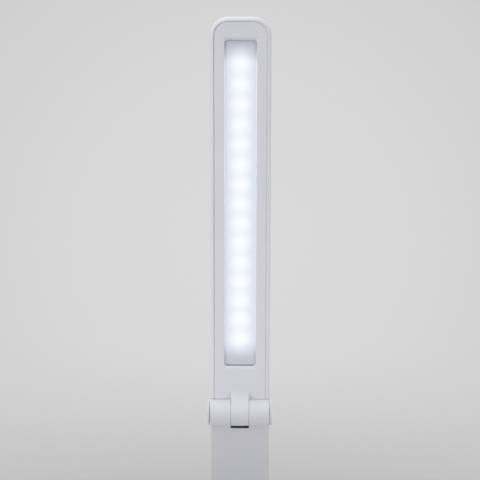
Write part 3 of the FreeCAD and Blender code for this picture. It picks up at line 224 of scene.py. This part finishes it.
def board_tracks():
    """Tracks under solder mask: square runs that stand a hair proud and look lighter than the mask."""
    takes = {"Mask": "c", "Track": "c", "Pitch": "f"}
    group, taken, given = shared_effect("board_tracks", takes)
    place = fed(group, "TexCoord").outputs["Object"]
    size = sum_of(group, "DIVIDE", 1.0, taken["Pitch"])
    laid = {"Vector": place, "Scale": size, "Mortar Size": TRACK_WIDTH, "Mortar Smooth": TRACK_EDGE}
    runs = fed(group, "TexBrick", laid, offset=TRACK_OFFSET, squash=TRACK_SQUASH)
    bare = fed(group, "TexNoise", {"Vector": place, "Scale": BARE_SCALE, "Detail": 1.0})
    covered = sum_of(group, "GREATER_THAN", bare.outputs[0], BARE_SHARE)
    shown = sum_of(group, "MULTIPLY", runs.outputs["Fac"], covered)
    tint = fed(group, "Mix", {0: shown, 6: taken["Mask"], 7: taken["Track"]}, data_type="RGBA")
    shine = sum_of(group, "MULTIPLY_ADD", bare.outputs[0], MASK_SHINE, MASK_GLOSS)
    bump = fed(group, "Bump", {"Height": shown, "Distance": TRACK_HEIGHT, "Strength": 0.7})
    return gives(group, given, tint.outputs[2], shine, bump.outputs[0])


TRACKS = board_tracks()
laminate, tree, shader = new_finish("green_masked_board", IOR=1.55)
wire_in(tree, shader, TRACKS, Mask=(0.012, 0.13, 0.045, 1), Track=(0.03, 0.24, 0.09, 1), Pitch=0.004)
dress(laminate, "control_board", "charging_board")


# Components. The driver chip, choke, connectors, push switch and its plunger are moulded black epoxy.
# They are soldered to the board; the plunger passes the button's press on to the switch.
epoxy, tree, shader = new_finish("black_moulded_epoxy", IOR=1.5)
wire_in(tree, shader, GRAIN, Colour=(0.016, 0.016, 0.018, 1), Cloud=0.3, Gloss=0.5,
        Pimple=0.0002, Height=0.000012)
dress(epoxy, "control_parts", "tact_switch", "switch_plunger")


# Charging socket. A shell folded from nickel plated strip round a black moulded tongue with its contacts.
# It is soldered to the charging board and looks out through a slot at the back of the base.
socket_low, socket_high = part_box("charging_socket")
socket_middle = (socket_low + socket_high) / 2
TONGUE_SIDE, TONGUE_HEIGHT = 0.0032, 0.0006
NICKEL, TONGUE_BLACK = (0.66, 0.65, 0.63, 1), (0.015, 0.015, 0.016, 1)
nickel, tree, shader = new_finish("nickel_socket_shell")
effect = wire_in(tree, shader, MARKS, Gloss=0.25, Streaks=(900, 4000, 900), Depth=0.000003)
place = fed(tree, "SeparateXYZ", {0: fed(tree, "TexCoord").outputs["Object"]})
level = sum_of(tree, "ABSOLUTE", sum_of(tree, "SUBTRACT", place.outputs[2], socket_middle.z))
side = sum_of(tree, "ABSOLUTE", place.outputs[0])
in_height = sum_of(tree, "LESS_THAN", level, TONGUE_HEIGHT)
inside = sum_of(tree, "MULTIPLY", in_height, sum_of(tree, "LESS_THAN", side, TONGUE_SIDE))
metal = sum_of(tree, "SUBTRACT", 1.0, inside)
shell = fed(tree, "Mix", {0: inside, 6: NICKEL, 7: TONGUE_BLACK}, data_type="RGBA")
tree.links.new(shell.outputs[2], effect.inputs["Colour"])
tree.links.new(metal, shader.inputs["Metallic"])
dress(nickel, "charging_socket")


# Leads. Pairs of fine stranded wire in white vinyl, laid from the socket and battery to the board,
# up through the hollow hinge shafts and along the stem to the light board.
vinyl, tree, shader = new_finish("white_vinyl_lead", IOR=1.5)
wire_in(tree, shader, GRAIN, Colour=(0.72, 0.72, 0.73, 1), Cloud=0.12, Gloss=0.36,
        Pimple=0.0012, Height=0.00004)
dress(vinyl, "base_lead", "charge_lead", "battery_lead", "stem_lead", "head_lead")


# Base cover and hinge post. Both are moulded in the white plastic that the whole lamp is made of.
# The tool is finely spark eroded, so that the white is satin; the post is screwed on from inside.
WHITE = (0.735, 0.740, 0.784, 1)
satin_white, tree, shader = new_finish("satin_white_plastic", IOR=1.46)
wire_in(tree, shader, GRAIN, Colour=WHITE, Cloud=0.035, Gloss=0.46, Pimple=0.00032, Height=0.000010)
dress(satin_white, "base_top_cover", "hinge_post")


# Power button. A round cap moulded in a slightly greyer white with a polished dished top.
# It slides in a bore of the cover, on the plunger of the switch below it.
BUTTON_GREY = (0.66, 0.67, 0.70, 1)
polished, tree, shader = new_finish("polished_button_plastic", IOR=1.5)
wire_in(tree, shader, GRAIN, Colour=BUTTON_GREY, Cloud=0.03, Gloss=0.22, Pimple=0.0009, Height=0.000004)
dress(polished, "power_button")


# Hinges. Each has a turned steel shaft with flats, brass friction washers, dark disc springs
# and lock nuts that set the friction; the white end caps are pressed over them.
turned, tree, shader = new_finish("turned_hinge_steel", Metallic=1.0)
wire_in(tree, shader, MARKS, Colour=(0.56, 0.56, 0.58, 1), Gloss=0.28,
        Streaks=(6000, 60, 60), Depth=0.000005)
dress(turned, "lower_hinge_shaft", "lower_lock_nuts", "upper_hinge_shaft", "upper_lock_nuts")

brass, tree, shader = new_finish("rubbed_brass", Metallic=1.0)
wire_in(tree, shader, MARKS, Colour=(0.70, 0.47, 0.17, 1), Gloss=0.3,
        Streaks=(200, 2600, 2600), Depth=0.000006)
dress(brass, "lower_friction_washers", "upper_friction_washers")

blued, tree, shader = new_finish("blued_spring_steel", Metallic=1.0)
wire_in(tree, shader, MARKS, Colour=(0.14, 0.15, 0.19, 1), Gloss=0.34,
        Streaks=(300, 1800, 1800), Depth=0.000004)
dress(blued, "lower_disc_springs", "upper_disc_springs")

cap_white, tree, shader = new_finish("smooth_white_caps", IOR=1.46)
wire_in(tree, shader, GRAIN, Colour=WHITE, Cloud=0.03, Gloss=0.4, Pimple=0.00028, Height=0.000007)
dress(cap_white, "lower_hinge_caps", "upper_hinge_caps")


# Stem. A channel moulded in the same satin white, with the outer knuckles of the upper hinge.
# A flat cover closes its back, let in flush and held by four screws.
dress(satin_white, "stem_housing", "stem_rear_cover")


# Head shells. The rear tray with its rounded rim and the front bezel with the light window.
# They are moulded in satin white and meet in a fine seam just inside the rim.
# Painted shade darkens the bezel in the groove at the window's foot.
dress(satin_white, "head_back_cover")

pane_low, pane_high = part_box("diffuser")
FLANGE, PANE_DEPTH = 0.0015, 0.0013
# The groove colour is painted shade: a darker grey for the groove wall at the window's foot.
GROOVE_SHADE, GROOVE_LOW, GROOVE_HIGH = (0.33, 0.33, 0.34, 1), 0.0002, 0.0008
bezel_white, tree, shader = new_finish("satin_white_bezel", IOR=1.46)
effect = wire_in(tree, shader, GRAIN, Cloud=0.035, Gloss=0.46, Pimple=0.00032, Height=0.000010)
place = fed(tree, "SeparateXYZ", {0: fed(tree, "TexCoord").outputs["Object"]})
deep = sum_of(tree, "GREATER_THAN", place.outputs[1], pane_low.y)
above = sum_of(tree, "GREATER_THAN", place.outputs[2], pane_low.z + FLANGE - GROOVE_LOW)
below = sum_of(tree, "LESS_THAN", place.outputs[2], pane_low.z + FLANGE + GROOVE_HIGH)
groove = sum_of(tree, "MULTIPLY", deep, sum_of(tree, "MULTIPLY", above, below))
# Painted shade: the groove wall at the window's foot is mixed to the darker grey.
dust_and_groove_shade = fed(tree, "Mix", {0: groove, 6: WHITE, 7: GROOVE_SHADE}, data_type="RGBA")
tree.links.new(dust_and_groove_shade.outputs[2], effect.inputs["Colour"])
dress(bezel_white, "head_front_bezel")


# Window corners. Small webs of the bezel's moulding that round the four corners of the light window.
# Each runs from the side wall on to the rounded lip at the window's end, a hair into both.
CORNER, CORNER_STEPS, BITE = 0.0020, 12, 0.00006
WEB_EDGE, WEB_TOP, WEB_FOOT, WEB_BACK, LIP_RUN = 0.00060, 0.00042, 0.00145, 0.0021, 0.0008
SHARP_EDGE = math.radians(40)


def joined(made, rings):
    """Rings of points, each joined to the one before, with a face on both ends."""
    for before, after in zip(rings, rings[1:]):
        for i in range(len(before)):
            made.faces.new((before[i - 1], before[i], after[i], after[i - 1]))
    made.faces.new(rings[0])
    made.faces.new(rings[-1])


def corner_web(webs, side, end, upward):
    """One web: a ring of four points at each step round the corner."""
    wall, face = pane_high.x - FLANGE, pane_low.y - PANE_DEPTH
    rings = []
    for step in range(CORNER_STEPS + 1):
        share = step / CORNER_STEPS
        turn = math.radians(90) * share
        aside, along = CORNER * (1 - math.cos(turn)), CORNER * (1 - math.sin(turn))
        past = max(0.0, 2 * share - 1)
        outer = (aside if past else -BITE, along if share < 0.5 else -BITE - LIP_RUN * (1 - past))
        inner_deep = WEB_EDGE + (WEB_FOOT - WEB_EDGE) * share ** 2
        outer_deep = WEB_TOP + (WEB_FOOT - WEB_TOP) * past
        ring = ((aside, along, inner_deep), (*outer, outer_deep))
        ring += ((*outer, WEB_BACK), (aside, along, WEB_BACK))
        spots = [(side * (wall - a), face + deep, end + upward * b) for a, b, deep in ring]
        rings.append([webs.verts.new(spot) for spot in spots])
    joined(webs, rings)


webs = bmesh.new()
for side in (-1, 1):
    corner_web(webs, side, pane_low.z + FLANGE, 1)
    corner_web(webs, side, pane_high.z - FLANGE, -1)


def shown_piece(name, made, body, finish):
    """A mesh made in code as a piece of the lamp, smooth but for its sharp edges."""
    bmesh.ops.recalc_face_normals(made, faces=made.faces)
    for face in made.faces:
        face.smooth = True
    for edge in made.edges:
        edge.smooth = edge.calc_face_angle(0.0) < SHARP_EDGE
    mesh = bpy.data.meshes.new(name)
    made.to_mesh(mesh)
    made.free()
    mesh.materials.append(finish)
    piece = bpy.data.objects.new(name, mesh)
    bpy.context.scene.collection.objects.link(piece)
    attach(piece, body)


shown_piece("window_corners", webs, "head", satin_white)


# Foot lips. Two thin lips along the foot of the bezel that keep dust out of the gap above the knuckles.
# They are moulded with it and end a hair above the barrel, round which they swing.
shaft_low, shaft_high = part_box("upper_hinge_shaft")
axis_y, axis_z = (shaft_low.y + shaft_high.y) / 2, (shaft_low.z + shaft_high.z) / 2
LIP_INNER, LIP_OUTER, LIP_SPAN, LIP_STEPS = 0.00902, 0.0095, math.radians(30), 10
LIP_RUNS = ((0.0060, 0.0168, 0.00001), (0.0171, 0.0185, 0.00013))
lips = bmesh.new()
for side, (start, stop, setback) in ((side, run) for side in (-1, 1) for run in LIP_RUNS):
    profile = []
    for radius, order in ((LIP_INNER, 1), (LIP_OUTER, -1)):
        front = math.asin((pane_low.y - PANE_DEPTH + setback - axis_y) / radius)
        turns = [front + (LIP_SPAN - front) * step / LIP_STEPS for step in range(LIP_STEPS + 1)]
        profile += [(axis_y + radius * math.sin(t), axis_z + radius * math.cos(t)) for t in turns[::order]]
    near, far = [[lips.verts.new((side * x, y, z)) for y, z in profile] for x in (start, stop)]
    for i in range(len(profile)):
        lips.faces.new((near[i - 1], near[i], far[i], far[i - 1]))
    for low in range(LIP_STEPS):
        quad = (low, low + 1, len(profile) - 2 - low, len(profile) - 1 - low)
        lips.faces.new([near[i] for i in quad])
        lips.faces.new([far[i] for i in quad])
shown_piece("foot_lips", lips, "head", satin_white)


# Seam rib. A fine rib moulded along the inner side of the tray's rim, which centres the bezel in it.
# It stands below both faces: high at the right and the top, and at the left only near the foot.
bezel_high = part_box("head_front_bezel")[1]
SEAM, SEAM_CORNER, SEAM_STEPS = 0.00018, 0.00933, 12
RIB_TOP, RIB_RISE, RIB_BACK = 0.00040, 0.00018, 0.0011
RIB_INNER, RIB_OUTER, RIB_ENDS = -0.00012, 0.00018, 0.100
rib_side, rib_high, rib_foot = bezel_high.x + SEAM / 2, bezel_high.z + SEAM / 2, axis_z + LIP_OUTER
rib_low = RIB_BACK - BITE


def round_the_top(half_width, top, corner):
    """Steps round the head's upper corners, right then left: side, share of the corner, turn and place."""
    for side, start in ((1, 0), (-1, 90)):
        for step in range(SEAM_STEPS + 1):
            share = step / SEAM_STEPS
            turn = math.radians(start + 90 * share)
            x = side * (half_width - corner) + corner * math.cos(turn)
            yield side, share, turn, x, top - corner + corner * math.sin(turn)


def edge_ring(made, x, z, turn, ring):
    """Points outward from a place on the head's edge and back from its face."""
    face = pane_low.y - PANE_DEPTH
    spots = [(x + out * math.cos(turn), face + y, z + out * math.sin(turn)) for out, y in ring]
    return [made.verts.new(spot) for spot in spots]


round_the_head = [(rib_side, rib_foot, 0.0, RIB_TOP)]
for side, share, turn, x, z in round_the_top(rib_side, rib_high, SEAM_CORNER):
    sinks = (rib_low - RIB_TOP) * share if side < 0 else 0.0
    round_the_head.append((x, z, turn, RIB_TOP - RIB_RISE * math.sin(turn) + sinks))
at_the_left = [(-rib_side, rib_foot, math.pi, RIB_TOP), (-rib_side, rib_foot + RIB_ENDS, math.pi, rib_low)]
rib = bmesh.new()
for course in (round_the_head, at_the_left):
    rings = []
    for x, z, turn, deep in course:
        ring = ((RIB_INNER, deep), (RIB_OUTER, deep), (RIB_OUTER, RIB_BACK), (RIB_INNER, RIB_BACK))
        rings.append(edge_ring(rib, x, z, turn, ring))
    joined(rib, rings)
shown_piece("seam_rib", rib, "head", satin_white)


# Rim crown. A low bead along the top of the tray's rim, moulded with it, that dies away round the corners.
# Its fuller rounding stands a third of a millimetre proud of the rim's face.
head_low, head_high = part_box("head_back_cover")
HEAD_CORNER, RIM_ROUND, RIM_INNER, CROWN_STEPS = 0.012, 0.0018, 0.0022, 8
CROWN_ROUND, CROWN_RISE, CROWN_SINK, CROWN_ENDS = 0.0027, 0.00034, 0.00003, 0.05
CROWN_TURN, CROWN_START, CROWN_DEEP, CROWN_FOOT, LEFT_LOSS = math.radians(70), 0.01, 0.00055, 0.0006, 0.5
course = []
for side, share, turn, x, z in round_the_top(head_high.x, head_high.z, HEAD_CORNER):
    course.append((x, z, turn, share if side > 0 else 1 - share * LEFT_LOSS))
course.append((-head_high.x, head_high.z - HEAD_CORNER - CROWN_ENDS, math.pi, 0.0))
crown = bmesh.new()
rings = []
for x, z, turn, share in course:
    rounding = RIM_ROUND + (CROWN_ROUND - RIM_ROUND) * share
    rise = CROWN_RISE * share - CROWN_SINK * (1 - share)
    ring = [(-RIM_INNER, CROWN_DEEP), (-RIM_INNER, -rise + CROWN_SINK)]
    first = math.asin(max(0.0, 1 - RIM_INNER / rounding + CROWN_START))
    for step in range(CROWN_STEPS + 1):
        tilt = first + (CROWN_TURN - first) * step / CROWN_STEPS
        ring.append((rounding * (math.sin(tilt) - 1), rounding * (1 - math.cos(tilt)) - rise))
    ring.append((-CROWN_FOOT, RIM_ROUND))
    rings.append(edge_ring(crown, x, z, turn, ring))
joined(crown, rings)
shown_piece("rim_crown", crown, "head", satin_white)


# Cap rims. Rings moulded on the edges of the hinge caps, which cover the ends of the barrels.
# The right rims reach far into the groove beside the barrel. At the left the groove is narrowed
# by a collar on the barrel's end.
CAP_DOME, CAP_EDGE, CAP_GROOVE = 0.00035, 0.0009, 0.0009
CAP_INNER, CAP_OUTER, CAP_STEPS = 0.0070, 0.0083, 72
RIM_EASE, RIM_BREAK, RIM_TURN = 0.00008, 0.00030, 0.00010
RIM_DROP, RIM_LIFT, RIM_PROUD = 0.00030, 0.00002, 0.00004
REACH_IN = {-1: 0.00005, 1: 0.00074}
COLLAR_LONG, COLLAR_OUTER, COLLAR_SINK = 0.00045, 0.00885, 0.0002
COLLAR_TAPER, COLLAR_BREAK, COLLAR_DROP = 0.00010, 0.00015, 0.00012


def lathed(made, axis, side, profile):
    """A ring turned about an axis that lies across the lamp, from its outline along and out."""
    rings = []
    for step in range(CAP_STEPS):
        turn = 2 * math.pi * step / CAP_STEPS
        spots = [(side * x, axis.y + r * math.sin(turn), axis.z + r * math.cos(turn)) for x, r in profile]
        rings.append([made.verts.new(spot) for spot in spots])
    for i in range(CAP_STEPS):
        for j in range(len(profile)):
            made.faces.new((rings[i - 1][j - 1], rings[i - 1][j], rings[i][j], rings[i][j - 1]))


for caps, shaft, body in (("upper_hinge_caps", "upper_hinge_shaft", "stem"),
                          ("lower_hinge_caps", "lower_hinge_shaft", "base")):
    axis = sum(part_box(shaft), Vector()) / 2
    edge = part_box(caps)[1].x - CAP_DOME
    rims = bmesh.new()
    for side, reach in REACH_IN.items():
        start = edge - CAP_EDGE - reach
        profile = ((start, CAP_INNER), (start, CAP_OUTER - RIM_EASE), (start + RIM_EASE, CAP_OUTER))
        profile += ((edge - RIM_BREAK, CAP_OUTER), (edge - RIM_TURN, CAP_OUTER - RIM_EASE))
        profile += ((edge + RIM_LIFT, CAP_OUTER - RIM_DROP), (edge + RIM_PROUD, CAP_INNER))
        lathed(rims, axis, side, profile)
    barrel = edge - CAP_EDGE - CAP_GROOVE
    collar = ((barrel - COLLAR_SINK, CAP_INNER), (barrel - COLLAR_SINK, COLLAR_OUTER - COLLAR_TAPER))
    collar += ((barrel, COLLAR_OUTER), (barrel + COLLAR_LONG - COLLAR_BREAK, COLLAR_OUTER))
    collar += ((barrel + COLLAR_LONG, COLLAR_OUTER - COLLAR_DROP), (barrel + COLLAR_LONG, CAP_INNER))
    lathed(rims, axis, -1, collar)
    shown_piece(caps[:5] + "_cap_rims", rims, body, cap_white)


# Light board. A long strip of aluminium under white solder mask that carries fifteen light chips.
# A white moulded frame stands round the chips and keeps their light in.
white_mask, tree, shader = new_finish("white_masked_strip", IOR=1.5)
wire_in(tree, shader, TRACKS, Mask=(0.80, 0.80, 0.79, 1), Track=(0.72, 0.71, 0.68, 1), Pitch=0.009)
dress(white_mask, "led_board")

frame_white, tree, shader = new_finish("bright_white_frame", IOR=1.5)
wire_in(tree, shader, GRAIN, Colour=(0.86, 0.86, 0.86, 1), Cloud=0.03, Gloss=0.5,
        Pimple=0.0004, Height=0.00001)
dress(frame_white, "reflector_frame")

PHOSPHOR_DARK, PHOSPHOR_LIGHT = (0.80, 0.62, 0.14, 1), (0.90, 0.76, 0.26, 1)
CHIP_COOL, CHIP_WHITE, PHOSPHOR_SCALE = (0.85, 0.93, 1.0, 1), (0.95, 0.98, 1.0, 1), 4000.0
phosphor, tree, shader = new_finish("lit_phosphor_chip", IOR=1.5, Roughness=0.35, Emission_Strength=1.0)
place = fed(tree, "TexCoord").outputs["Object"]
grains = fed(tree, "TexNoise", {"Vector": place, "Scale": PHOSPHOR_SCALE, "Detail": 2.0})
yellow = shades(tree, grains.outputs[0], PHOSPHOR_DARK, PHOSPHOR_LIGHT)
glow = shades(tree, grains.outputs[0], CHIP_COOL, CHIP_WHITE)
tree.links.new(yellow, shader.inputs["Base Color"])
tree.links.new(glow, shader.inputs["Emission Color"])
dress(phosphor, "led_chips")


# Diffuser. A strip of frosted acrylic in the window, lit from behind by the row of chips.
# Each chip makes a soft bright patch; the light thins out towards the sides and past the last chips,
# and gathers again in the pane's edges. Painted shade darkens the pane's top end and the lower flange.
CHIP_COUNT = 15
chips_low, chips_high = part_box("led_chips")
CHIP_HALF = 0.0014
first_chip = chips_low.z + CHIP_HALF
chip_pitch = (chips_high.z - CHIP_HALF - first_chip) / (CHIP_COUNT - 1)
GLOW_SIDE, SPOT_SIDE, SPOT_POWER = 0.0069, 0.0072, 4.0
GLOW_TINT = (0.955, 1.0, 1.04)
EDGE_GLOW, MIDDLE_GLOW, SPOT_GLOW = 0.193, 0.200, 0.077
RIM_GLOW, RIM_FALL, RIM_FOOT = 0.12, 0.0012, 0.4
FADE_BEGINS, FADE_ENDS, FADE_BOW = 0.14, 1.16, 0.11
LEAK, LEAK_DEPTH = 0.13, 0.0005
# The two darker colours are painted shade: one for the lower flange in its groove, one for the pane's top end
# under the lip.
FROST, FLANGE_SHADE, TOP_SHADE = (0.62, 0.65, 0.74, 1), (0.50, 0.50, 0.52, 1), (0.30, 0.31, 0.35, 1)
TOP_SHADE_STRENGTH, TOP_SHADE_FALL = 0.32, 0.0018


def fall(tree, value):
    """Sinks from one to nothing as the value rises from nothing."""
    return sum_of(tree, "EXPONENT", sum_of(tree, "MULTIPLY", value, -1.0))


frosted, tree, shader = new_finish("frosted_lit_acrylic", IOR=1.49, Emission_Strength=1.0)
effect = wire_in(tree, shader, GRAIN, Cloud=0.02, Gloss=0.5, Pimple=0.0005, Height=0.000008)
place = fed(tree, "SeparateXYZ", {0: fed(tree, "TexCoord").outputs["Object"]})
row = sum_of(tree, "DIVIDE", sum_of(tree, "SUBTRACT", place.outputs[2], first_chip), chip_pitch)
wave = sum_of(tree, "COSINE", sum_of(tree, "MULTIPLY", row, 2 * math.pi))
ripple = sum_of(tree, "MULTIPLY_ADD", wave, 0.5, 0.5)
aside = sum_of(tree, "DIVIDE", place.outputs[0], GLOW_SIDE)
across = fall(tree, sum_of(tree, "MULTIPLY", aside, aside))
off_spot = sum_of(tree, "ABSOLUTE", sum_of(tree, "DIVIDE", place.outputs[0], SPOT_SIDE))
spot = fall(tree, sum_of(tree, "POWER", off_spot, SPOT_POWER))
middle = (CHIP_COUNT - 1) / 2
upper = sum_of(tree, "GREATER_THAN", row, middle)
from_middle = sum_of(tree, "ABSOLUTE", sum_of(tree, "SUBTRACT", row, middle))
beyond = sum_of(tree, "SUBTRACT", from_middle, middle)
bow = sum_of(tree, "MULTIPLY", sum_of(tree, "MULTIPLY", aside, aside), upper)
beyond = sum_of(tree, "MULTIPLY_ADD", bow, FADE_BOW, beyond)
fade = {"Value": beyond, "From Min": FADE_ENDS, "From Max": FADE_BEGINS}
lit = fed(tree, "MapRange", fade, interpolation_type="SMOOTHSTEP").outputs[0]
strip = sum_of(tree, "MULTIPLY_ADD", across, MIDDLE_GLOW, EDGE_GLOW)
from_wall = sum_of(tree, "SUBTRACT", sum_of(tree, "ABSOLUTE", place.outputs[0]), pane_high.x - FLANGE)
from_wall = sum_of(tree, "DIVIDE", from_wall, RIM_FALL)
rim = fall(tree, sum_of(tree, "MULTIPLY", from_wall, from_wall))
patches = sum_of(tree, "MULTIPLY_ADD", sum_of(tree, "MULTIPLY", ripple, spot), SPOT_GLOW, strip)
flange = sum_of(tree, "GREATER_THAN", place.outputs[1], pane_low.y + LEAK_DEPTH)
leaking = sum_of(tree, "MULTIPLY", flange, upper)
light = sum_of(tree, "MULTIPLY_ADD", leaking, LEAK, sum_of(tree, "MULTIPLY", patches, lit))
lower = sum_of(tree, "LESS_THAN", row, middle)
rim_lit = sum_of(tree, "MAXIMUM", lit, sum_of(tree, "MULTIPLY", lower, RIM_FOOT))
light = sum_of(tree, "MULTIPLY_ADD", sum_of(tree, "MULTIPLY", rim, rim_lit), RIM_GLOW, light)
# Painted shade: the frost darkens towards the pane's top end and fades out below it.
from_top = sum_of(tree, "SUBTRACT", place.outputs[2], pane_high.z - FLANGE)
thinning = sum_of(tree, "EXPONENT", sum_of(tree, "DIVIDE", from_top, TOP_SHADE_FALL))
top_shade = sum_of(tree, "MULTIPLY", thinning, TOP_SHADE_STRENGTH)
top_shaded = fed(tree, "Mix", {0: top_shade, 6: FROST, 7: TOP_SHADE}, data_type="RGBA")
# Painted shade: the flange in the pane's lower half takes the darker flange colour.
shaded_flange = sum_of(tree, "SUBTRACT", flange, leaking)
frost = fed(tree, "Mix", {0: shaded_flange, 6: top_shaded.outputs[2], 7: FLANGE_SHADE}, data_type="RGBA")
tree.links.new(frost.outputs[2], effect.inputs["Colour"])
shade = fed(tree, "VectorMath", {0: GLOW_TINT, "Scale": light}, operation="SCALE")
tree.links.new(shade.outputs[0], shader.inputs["Emission Color"])
dress(frosted, "diffuser")


# Floor. A plain pale table top that the lamp stands on; far from the lamp it fades into the backdrop.
# Seen from below it is clear, and it lets light up to the underside, so that this can be looked at.
FLOOR_GREY = (0.510, 0.510, 0.512, 1)
FLOOR_RADIUS, FADE_START, FADE_END, FADE_CURVE = 1.5, 0.75, 1.45, 2.4
UNDERSIDE_REACH, FLOOR_SIDES = 0.008, 96
bpy.ops.mesh.primitive_circle_add(vertices=FLOOR_SIDES, radius=FLOOR_RADIUS, fill_type="NGON",
                                  location=(0, 0, 0))
floor = bpy.context.object
floor.name = "table_top"
matt, tree, shader = new_finish("pale_matt_table", IOR=1.4, Specular_IOR_Level=0.2)
effect = wire_in(tree, shader, GRAIN, Colour=FLOOR_GREY, Cloud=0.02, Gloss=0.7,
                 Pimple=0.002, Height=0.00002)
place = fed(tree, "TexCoord").outputs["Object"]
reach = fed(tree, "VectorMath", {0: place}, operation="LENGTH").outputs["Value"]
kept = fed(tree, "MapRange", {"Value": reach, "From Min": FADE_END, "From Max": FADE_START}).outputs[0]
kept = sum_of(tree, "POWER", kept, FADE_CURVE)
front = sum_of(tree, "SUBTRACT", 1.0, fed(tree, "NewGeometry").outputs["Backfacing"])
away = sum_of(tree, "GREATER_THAN", fed(tree, "LightPath").outputs["Ray Length"], UNDERSIDE_REACH)
shown = sum_of(tree, "MULTIPLY", front, away)
tree.links.new(sum_of(tree, "MULTIPLY", kept, shown), shader.inputs["Alpha"])
floor.data.materials.append(matt)


# Light and backdrop. A white tent of soft light, brighter overhead and from the left, with a pale grey
# backdrop behind the lamp. A spot lamp at each side lights the head, and a small soft lamp hangs
# above it, a little to the left.
VIEW_PITCH = math.radians(10.9)
TENT, TENT_UP, TENT_LEFT, TENT_BEHIND = 0.425, 0.90, 0.08, 0.30
BACKDROP_EDGE, BACKDROP_MIDDLE, BACKDROP_SPREAD = 0.55, 0.70, math.radians(20)
UNDER, UNDER_START = 0.9, 0.65
world = bpy.data.worlds.new("studio")
bpy.context.scene.world = world
world.use_nodes = True
tree = world.node_tree
tree.nodes.clear()
direction = fed(tree, "TexCoord").outputs["Generated"]
part = fed(tree, "SeparateXYZ", {0: direction})
upper = sum_of(tree, "MULTIPLY_ADD", part.outputs[2], TENT_UP, TENT)
behind = sum_of(tree, "MULTIPLY_ADD", part.outputs[1], TENT_BEHIND, upper)
tent = sum_of(tree, "MULTIPLY_ADD", part.outputs[0], -TENT_LEFT, behind)
under = sum_of(tree, "GREATER_THAN", sum_of(tree, "MULTIPLY", part.outputs[2], -1.0), UNDER_START)
tent = sum_of(tree, "MAXIMUM", tent, sum_of(tree, "MULTIPLY", under, UNDER))
ahead = (0.0, math.cos(VIEW_PITCH), -math.sin(VIEW_PITCH))
facing = fed(tree, "VectorMath", {0: direction, 1: ahead}, operation="DOT_PRODUCT").outputs["Value"]
paling = {"Value": facing, "From Min": math.cos(BACKDROP_SPREAD), "From Max": 1.0,
          "To Min": BACKDROP_EDGE, "To Max": BACKDROP_MIDDLE}
backdrop = fed(tree, "MapRange", paling).outputs[0]
path = fed(tree, "LightPath")
seen = sum_of(tree, "MAXIMUM", path.outputs["Is Camera Ray"], path.outputs["Is Glossy Ray"])
seen = sum_of(tree, "MAXIMUM", seen, path.outputs["Is Transmission Ray"])
level = fed(tree, "Mix", {0: seen, 2: tent, 3: backdrop})
shown = fed(tree, "Background", {"Color": level.outputs[0], "Strength": 1.0})
fed(tree, "OutputWorld", {"Surface": shown.outputs[0]})

LAMP_REACH, LAMP_DROP, LAMP_WATTS = 1.5, math.radians(10), {-55: 30.0, 55: 25.0}
LAMP_CONE, LAMP_BLEND, LAMP_SOFT, LIT_BELOW_TOP = math.radians(14.6), 0.5, 0.06, 0.125
lit_middle = Vector((0, head_low.y, head_high.z - LIT_BELOW_TOP))
for bearing, watts in LAMP_WATTS.items():
    lamp = bpy.data.objects.new("side_lamp", bpy.data.lights.new("side_lamp", "SPOT"))
    lamp.data.energy, lamp.data.spot_size, lamp.data.spot_blend = watts, LAMP_CONE, LAMP_BLEND
    lamp.data.shadow_soft_size = LAMP_SOFT
    turned_to = math.radians(bearing)
    away = Vector((math.sin(turned_to), -math.cos(turned_to), -math.tan(LAMP_DROP))).normalized()
    lamp.location = lit_middle + LAMP_REACH * away
    lamp.rotation_euler = (-away).to_track_quat("-Z", "Y").to_euler()
    bpy.context.scene.collection.objects.link(lamp)

OVERHEAD_WATTS, OVERHEAD_SIZE = 0.30, 0.25
OVERHEAD_RISE, OVERHEAD_FRONT, OVERHEAD_LEFT = 0.25, 0.06, 0.09
overhead = bpy.data.objects.new("overhead_lamp", bpy.data.lights.new("overhead_lamp", "AREA"))
overhead.data.energy, overhead.data.size = OVERHEAD_WATTS, OVERHEAD_SIZE
overhead.location = (-OVERHEAD_LEFT, head_low.y - OVERHEAD_FRONT, head_high.z + OVERHEAD_RISE)
bpy.context.scene.collection.objects.link(overhead)
bpy.context.scene.view_settings.view_transform = "Standard"


# Camera. It stands level with the top of the lamp and looks a little down at the head,
# so that upright lines draw together towards the foot as they do in the photograph.
AIM_SIDE, HINGE_BELOW_AIM, DISTANCE, LENS, SENSOR = -0.00016, 0.1167, 0.880, 101.54, 36.0
ROLL = math.radians(0.127)
caps_low, caps_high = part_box("upper_hinge_caps")
aim = Vector((AIM_SIDE, head_low.y, (caps_low.z + caps_high.z) / 2 + HINGE_BELOW_AIM))
camera = bpy.data.objects.new("camera", bpy.data.cameras.new("camera"))
camera.data.lens, camera.data.sensor_width = LENS, SENSOR
back = Vector((0, -math.cos(VIEW_PITCH), math.sin(VIEW_PITCH)))
camera.location = aim + DISTANCE * back
camera.rotation_euler = (back.to_track_quat("Z", "Y") @ Quaternion((0, 0, 1), ROLL)).to_euler()
bpy.context.scene.collection.objects.link(camera)
bpy.context.scene.camera = camera
